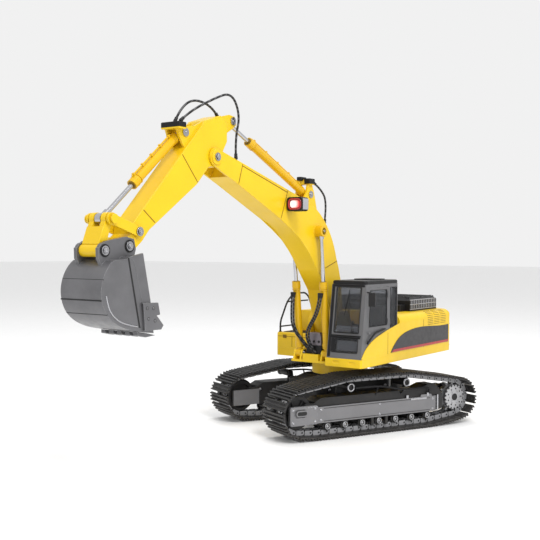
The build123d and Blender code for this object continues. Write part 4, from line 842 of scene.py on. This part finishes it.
def bay_details():
    """The rounded valve block and its fittings between the boom cylinders."""
    block = Builder(house)
    block.prism([(-8.0, 96.0), (11.0, 96.0), (11.0, 107.6), (8.0, 111.2), (-5.0, 111.2), (-8.0, 107.6)],
                52.0, 61.0, along="x")
    block.finish("valve_block", MAUVE, "house", "silver", bevel=1.0)
    base = Builder(house)
    base.box((51.0, 61.8), (-9.0, 12.0), (DECK_TOP - 0.1, 96.2))
    for y in (-5.0, 1.5, 8.0):
        base.bar((61.0, y, 101.0), (62.2, y, 101.0), 1.4, 12)
    base.finish("valve_base", BLACK_PAINT, "house", "black_paint", bevel=0.4)
    bright = Builder(house)
    for x in (7.0, 42.0):
        for y in (-21.0, 21.0):
            bright.bolt((x, y, DECK_TOP), (0.0, 0.0, 1.0), 1.2, 0.9)
    for y in (36.0, 50.0, 66.0):
        bright.bolt((78.4, y, DECK_TOP - 0.1), (0.0, 0.0, 1.0), 0.9, 0.7)
    for s in (1, -1):
        for x in (10.0, 40.0):
            bright.bolt((x, s * 19.4, 116.0), (0.0, s, 0.0), 1.1, 0.8)
    bright.finish("bay_bolts", BRIGHT, "house", "pin_steel", bevel=0.08)


# ---------------------------------------------------------------- boom, stick, cylinders
BOOM_HALF = 13.0
STICK_HALF = 10.5
BUCKET_PIN = (376.8, 208.6)
LINK_PIN = (405.2, 204.7)
LINK_EYE = (395.0, 231.3)
BOOM_TOP = [(14.4, 112.0), (22.6, 172.6), (27.0, 186.0), (32.6, 197.8), (38.0, 211.0), (46.0, 225.0),
            (56.0, 236.4), (73.0, 249.8), (92.3, 259.4), (150.0, 274.8), (216.0, 292.3), (242.0, 299.0)]
BOOM_LOW = [(35.4, 109.4), (52.4, 160.0), (73.4, 184.4), (90.0, 203.4), (107.8, 218.2), (127.0, 229.4),
            (149.0, 240.6), (224.0, 272.6), (236.0, 277.6)]
STICK_TOP = [(249.0, 335.0), (271.0, 327.4), (298.6, 299.6), (368.6, 226.8)]
STICK_LOW = [(267.0, 285.6), (283.4, 268.2), (348.0, 223.8), (357.4, 213.8)]


def arm_trim():
    """Rolled edges and weld beads along the sides of boom and stick."""
    for body, half, lines, seams in (
        ("boom", BOOM_HALF, (BOOM_TOP, BOOM_LOW),
         (((215.3, 292.0), (222.0, 272.0)), ((134.6, 270.6), (147.0, 240.4)), ((30.6, 194.0), (56.6, 186.0)),
          ((215.3, 290.0), (135.2, 268.4)))),
        ("stick", STICK_HALF, (STICK_TOP, STICK_LOW),
         (((304.4, 293.4), (282.4, 269.4)), ((355.4, 240.4), (340.6, 229.6)))),
    ):
        rim = Builder(house)
        bead = Builder(house)
        for s in (1, -1):
            for line in lines:
                rim.bead([(x, s * (half - 0.55), z) for x, z in line], 0.75)
            for a, b in seams:
                bead.bar((a[0], s * half, a[1]), (b[0], s * half, b[1]), 0.45, 8)
        rim.finish(f"{body}_edge_beads", YELLOW, body, "body_yellow", bevel=0)
        bead.finish(f"{body}_weld_seams", SEAM, body, "body_yellow", bevel=0)


def pin_caps():
    """Nuts on the ends of the big pivot pins."""
    for body, half, places in (
        ("boom", BOOM_HALF + 1.5, ((257.5, 295.2),)),
        ("stick", STICK_HALF + 2.8, ((362.8, 221.2),)),
        ("bucket", 14.7, (BUCKET_PIN, LINK_PIN)),
        ("house", 19.5, ((24.0, 104.0),)),
    ):
        cap = Builder(house)
        for x, z in places:
            for s in (1, -1):
                cap.bolt((x, s * (half + 1.6), z), (0.0, s, 0.0), 2.0, 1.2)
        cap.finish(f"{body}_pin_nuts", BRIGHT, body, "pin_steel", bevel=0.1)


def point_on(base, rod, distance, y, lift=0.0):
    """A point along a cylinder's axis, in the house frame."""
    run = math.dist(base, rod)
    dx = (rod[0] - base[0]) / run
    dz = (rod[1] - base[1]) / run
    return (base[0] + dx * distance - dz * lift, y, base[1] + dz * distance + dx * lift)


def link_plate():
    """The closing plate across the two bars of the bucket link."""
    line = Vector(LINK_PIN) - Vector(LINK_EYE)
    out = Vector((-line.y, line.x)).normalized()

    def at(share, off):
        return tuple(Vector(LINK_EYE) + line * share + out * off)

    plate = Builder(house)
    plate.prism([at(0.30, 3.0), at(0.86, 3.0), at(0.86, 4.4), at(0.30, 4.4)], -10.0, 10.0)
    plate.finish("link_plate", YELLOW, "link", "body_yellow", bevel=0.4)


def rod_eyes():
    """Painted collars on the eyes at the rods' ends."""
    for body, spot, ys, radius in (("boom_rods", (76.0, 228.0), (18.5, -18.5), 6.4),
                                   ("stick_rod", (225.2, 333.7), (0.0,), 6.0)):
        collar = Builder(house)
        for y in ys:
            collar.bar((spot[0], y - 4.7, spot[1]), (spot[0], y + 4.7, spot[1]), radius, 28)
        collar.finish(f"{body}_collars", CYLINDER, body, "cylinder_yellow", bevel=0.4)


def cylinder_rings():
    """Wiper seals and gland rings on the cylinders."""
    for body, base, rod, length, ys in (
        ("boom_barrels", (60.0, 87.0), (76.0, 228.0), 84.0, (18.5, -18.5)),
        ("stick_barrel", (80.8, 269.4), (225.2, 333.7), 119.0, (0.0,)),
        ("bucket_barrel", (297.0, 314.6), LINK_EYE, 81.0, (0.0,)),
    ):
        seal = Builder(house)
        ring = Builder(house)
        for y in ys:
            seal.bar(point_on(base, rod, length - 1.5, y), point_on(base, rod, length + 0.4, y), 3.9, 24)
            for at in (9.6, length - 10.0, length - 6.0):
                ring.bar(point_on(base, rod, at, y), point_on(base, rod, at + 1.1, y), 5.15, 28)
        seal.finish(f"{body}_seals", SEAM, body, "black_plastic", bevel=0.3)
        ring.finish(f"{body}_rings", CYLINDER, body, "cylinder_yellow", bevel=0.25)


def lamp_details():
    """Lit lens, red rim and side plate of the boom lamp."""
    lens = Builder(house)
    lens.prism(rounded_loop((18.0, 30.0), (251.6, 259.4), 2.6), 136.9, 137.5, along="x")
    lens.finish("lamp_lens", LENS, "boom", "lamp_plastic", bevel=0.3)
    rim = Builder(house)
    rim.closed_bead([(138.0, y, z) for y, z in rounded_loop((16.6, 31.6), (250.3, 260.7), 3.4)], 1.0, 10)
    rim.finish("lamp_rim", LAMP_RED, "boom", "lamp_plastic", bevel=0)
    hood = Builder(house)
    hood.box((127.0, 137.0), (33.4, 34.7), (249.6, 261.4))
    hood.finish("lamp_side", LIGHT_TRIM, "boom", "silver", bevel=0.4)


def fittings():
    """Hex ferrules where the hoses end, and the blocks they screw into."""
    for body, spots in (
        ("boom", (((77.4, 8.6, 283.2), (72.0, 8.6, 281.5)), ((52.3, 8.6, 235.9), (50.8, 8.6, 242.4)),
                  ((225.6, 12.2, 295.6), (225.9, 12.2, 301.4)))),
        ("stick", (((307.2, 3.6, 322.6), (304.6, 3.6, 327.4)), ((243.2, 3.6, 334.6), (247.0, 3.6, 339.0)),
                   ((309.2, 12.2, 323.0), (305.0, 12.2, 326.6)))),
        ("boom_barrels", [((75.4, y, 158.0), (75.4, y + lean, 152.6))
                          for y, lean in ((17.0, -0.4), (20.0, -0.4), (-17.0, -0.3), (-20.0, -0.3))]),
    ):
        ferrule = Builder(house)
        for a, b in spots:
            middle = tuple((p + q) / 2 for p, q in zip(a, b))
            ferrule.rings([(a, 2.0), (middle, 2.0)], 6)
            ferrule.rings([(middle, 1.65), (b, 1.65)], 16)
        ferrule.finish(f"{body}_ferrules", PLASTIC, body, "black_plastic", bevel=0.15)
    block = Builder(house)
    block.box((76.2, 87.6), (3.0, 10.8), (281.0, 287.2))
    block.box((80.0, 92.0), (-4.0, 2.0), (284.6, 289.0))
    block.finish("boom_hose_block", BLACK_PAINT, "boom", "black_paint", bevel=0.8)
    block = Builder(house)
    block.box((302.7, 313.3), (-8.1, 14.3), (317.6, 322.8))
    block.finish("stick_hose_block", BLACK_PAINT, "stick", "black_paint", bevel=0.8)


# ---------------------------------------------------------------- hoses
HOSE_R = 1.15
BOOM_ROUTE = [(76.8, 8.6, 283.2), (60.0, 8.6, 277.0), (46.5, 8.6, 262.0), (52.2, 8.6, 236.4)]
STICK_ROUTE = [(307.0, 3.6, 323.1), (300.0, 3.6, 336.0), (281.0, 3.6, 348.6), (252.0, 3.6, 345.0),
               (243.4, 3.6, 335.0)]
ARM_ROUTE = [(309.0, 12.2, 323.4), (297.0, 12.2, 333.0), (262.0, 12.2, 350.0), (233.0, 12.2, 361.0),
             (219.0, 12.2, 340.0), (227.0, 12.2, 316.0), (225.6, 12.2, 296.0)]
SWING_PITCH = 3.0
NEAR_ROUTE = [(75.4, 17.0, 157.6), (75.4, 15.0, 138.0), (71.0, -4.6, 113.0), (66.0, -3.6, 97.0),
              (62.0, 2.0, 87.4)]
FAR_ROUTE = [(75.4, -17.0, 157.6), (75.4, -18.4, 138.0), (72.0, -19.6, 116.0), (64.0, -7.0, 97.0),
             (58.0, -3.0, 87.4)]


def hose_piece(name, points, node_name, body=None):
    """A smooth rubber hose that stands for a CAD hose."""
    hose = Builder(house)
    hose.tube(points, HOSE_R, 14)
    piece = hose.finish(name, HOSE, body, "hose_rubber", bevel=0, parent=body is not None)
    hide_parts(node_name)
    return piece


def hoses():
    """Two hoses that stay with one arm, one from boom to stick, four from the deck to the boom cylinders."""
    hose_piece("boom_hose_bend", BOOM_ROUTE, "boom_hose", "boom")
    hose_piece("stick_hose_bend", STICK_ROUTE, "stick_hose", "stick")
    arm = hose_piece("arm_hose_bend", ARM_ROUTE, "arm_hose")
    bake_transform(arm)
    for i in range(2):
        for label, route, way, start, end in (
            ("near", NEAR_ROUTE, 1, (62.0, 0.0, 87.5), (70.0, -3.0, 110.0)),
            ("far", FAR_ROUTE, -1, (58.0, -3.0, 87.5), (70.5, -16.0, 111.0)),
        ):
            points = [(x, y + way * SWING_PITCH * i, z) for x, y, z in route]
            hose = hose_piece(f"{label}_swing_hose_{i + 1}", points, "swing_hoses")
            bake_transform(hose)


# ---------------------------------------------------------------- bucket
BUCKET_FRONT = [(386.7, 199.4), (369.9, 202.6), (360.7, 162.4), (356.6, 133.6), (364.0, 134.6),
                (380.6, 195.6)]
CUTTER = [(372.0, 160.4), (353.4, 160.0), (350.8, 149.5), (355.2, 148.9), (346.5, 140.1), (349.4, 136.4),
          (369.6, 136.5)]
CUTTER_HOLES = ((367.2, 155.8), (359.6, 155.4), (365.6, 146.6), (357.6, 144.6))
BUCKET_BACK = ((415.8, 181.0), (417.8, 164.0), (411.4, 152.4))
BUCKET_RIM = ((412.6, 168.0), (410.6, 158.0), (403.4, 149.4), (392.0, 143.4), (376.4, 140.6))


def bucket_details():
    """Front strips of the side plates, grooves, cutters with their bolts, the lip's bolts, and a painted
    highlight along the rims.
    """
    plate = Builder(house)
    dark = Builder(house)
    bolts = Builder(house)
    painted_rim_highlight = Builder(house)
    ears = Builder(house)
    for s in (1, -1):
        face = s * 24.0
        plate.prism(BUCKET_FRONT, s * 21.8, s * 24.3)
        dark.prism([(386.6, 198.6), (388.0, 198.6), (374.6, 139.6), (373.0, 139.2)], face, s * 24.35)
        # Painted highlight: the real raised rim is made in bright steel to stand for the light along its
        # edge.
        painted_rim_highlight.tube([(x, face, z) for x, z in BUCKET_RIM], 0.75, 10)
        for x, z in (BUCKET_PIN, LINK_PIN):
            ears.bar((x, s * 14.4, z), (x, s * 15.5, z), 5.4, 28)
        plate.prism(CUTTER, s * 24.2, s * 26.6)
        for x, z in CUTTER_HOLES:
            dark.bar((x, s * 26.2, z), (x, s * 26.75, z), 1.5, 14)
            bolts.bolt((x, s * 26.6, z), (0.0, s, 0.0), 0.8, 0.5)
    for x, z in BUCKET_BACK:
        dark.bar((x, -24.0, z), (x, 24.0, z), 0.55, 8)
    for k in range(5):
        bolts.bolt((370.0, -19.2 + 9.6 * k, 135.9), (0.0, 0.0, 1.0), 1.0, 0.7)
    plate.finish("bucket_side_strips", BUCKET_GREY, "bucket", "bucket_grey", bevel=0.3)
    dark.finish("bucket_grooves", GROOVE, "bucket", "frame_black", bevel=0.05)
    bolts.finish("bucket_bolts", BUCKET_GREY, "bucket", "bucket_grey", bevel=0.08)
    painted_rim_highlight.finish("bucket_rim_highlights", BRIGHT, "bucket", "bucket_grey", bevel=0)
    ears.finish("bucket_ear_collars", BLACK_PAINT, "bucket", "black_paint", bevel=0.3)


step_rails()
plate_details()
yoke_details()
roller_ends()
wheel_details()
car_body_details()
body_lines()
swoosh_trim()
tail_details()
hood_details()
toolbox_details()
cab_details()
bay_details()
arm_trim()
pin_caps()
link_plate()
rod_eyes()
cylinder_rings()
lamp_details()
fittings()
hoses()
bucket_details()


# ---------------------------------------------------------------- floor, light, camera
def floor():
    """A large pale floor with a faint grain."""
    mesh = bmesh.new()
    bmesh.ops.create_grid(mesh, x_segments=4, y_segments=4, size=12.0)
    data = bpy.data.meshes.new("floor")
    mesh.to_mesh(data)
    mesh.free()
    plane = bpy.data.objects.new("floor", data)
    plane.location.z = cad_low.z - 0.0002
    bpy.context.scene.collection.objects.link(plane)
    data.materials.append(surface("floor_pale", (0.90, 0.90, 0.90), 0.75, patch=0.01, grain=2.0, bump=0.01,
                                  rounding=0.0))


def area_light(name, at, aim, size, power, colour=(1.0, 1.0, 1.0)):
    """A square soft light."""
    data = bpy.data.lights.new(name, "AREA")
    data.size = size
    data.energy = power
    data.color = colour
    lamp = bpy.data.objects.new(name, data)
    lamp.location = at
    lamp.rotation_mode = "QUATERNION"
    lamp.rotation_quaternion = (Vector(aim) - Vector(at)).to_track_quat("-Z", "Y")
    bpy.context.scene.collection.objects.link(lamp)


def studio():
    """White surroundings, with a soft key and a low fill from the camera's right and one lamp overhead."""
    world = bpy.data.worlds.new("studio")
    bpy.context.scene.world = world
    world.use_nodes = True
    background = world.node_tree.nodes["Background"]
    background.inputs["Color"].default_value = (1.0, 1.0, 1.0, 1.0)
    background.inputs["Strength"].default_value = 0.88
    middle = (0.0, 0.0, 0.15)
    area_light("key", (0.7, 1.0, 1.5), middle, 0.6, 18.0)
    area_light("fill", (0.2, 1.6, 0.6), middle, 0.9, 4.0)
    area_light("top", (-0.4, -0.3, 1.7), middle, 0.8, 8.0)


CAMERA_AT = (909.0, 535.5, 204.5)
CAMERA_AIM = (148.57, 0.0, 184.84)
CAMERA_ROLL = 0.337
LENS_MM = 57.755


def camera():
    """The photograph's viewpoint."""
    data = bpy.data.cameras.new("camera")
    data.lens = LENS_MM
    data.sensor_width = 36.0
    data.clip_start = 0.02
    data.clip_end = 60.0
    made = bpy.data.objects.new("camera", data)
    bpy.context.scene.collection.objects.link(made)
    at = house(*CAMERA_AT)
    look = (house(*CAMERA_AIM) - at).normalized()
    made.location = at
    made.rotation_mode = "QUATERNION"
    level = look.to_track_quat("-Z", "Y")
    made.rotation_quaternion = Quaternion(look, math.radians(-CAMERA_ROLL)) @ level
    bpy.context.scene.camera = made


floor()
studio()
camera()
bpy.context.scene.view_settings.view_transform = "Standard"
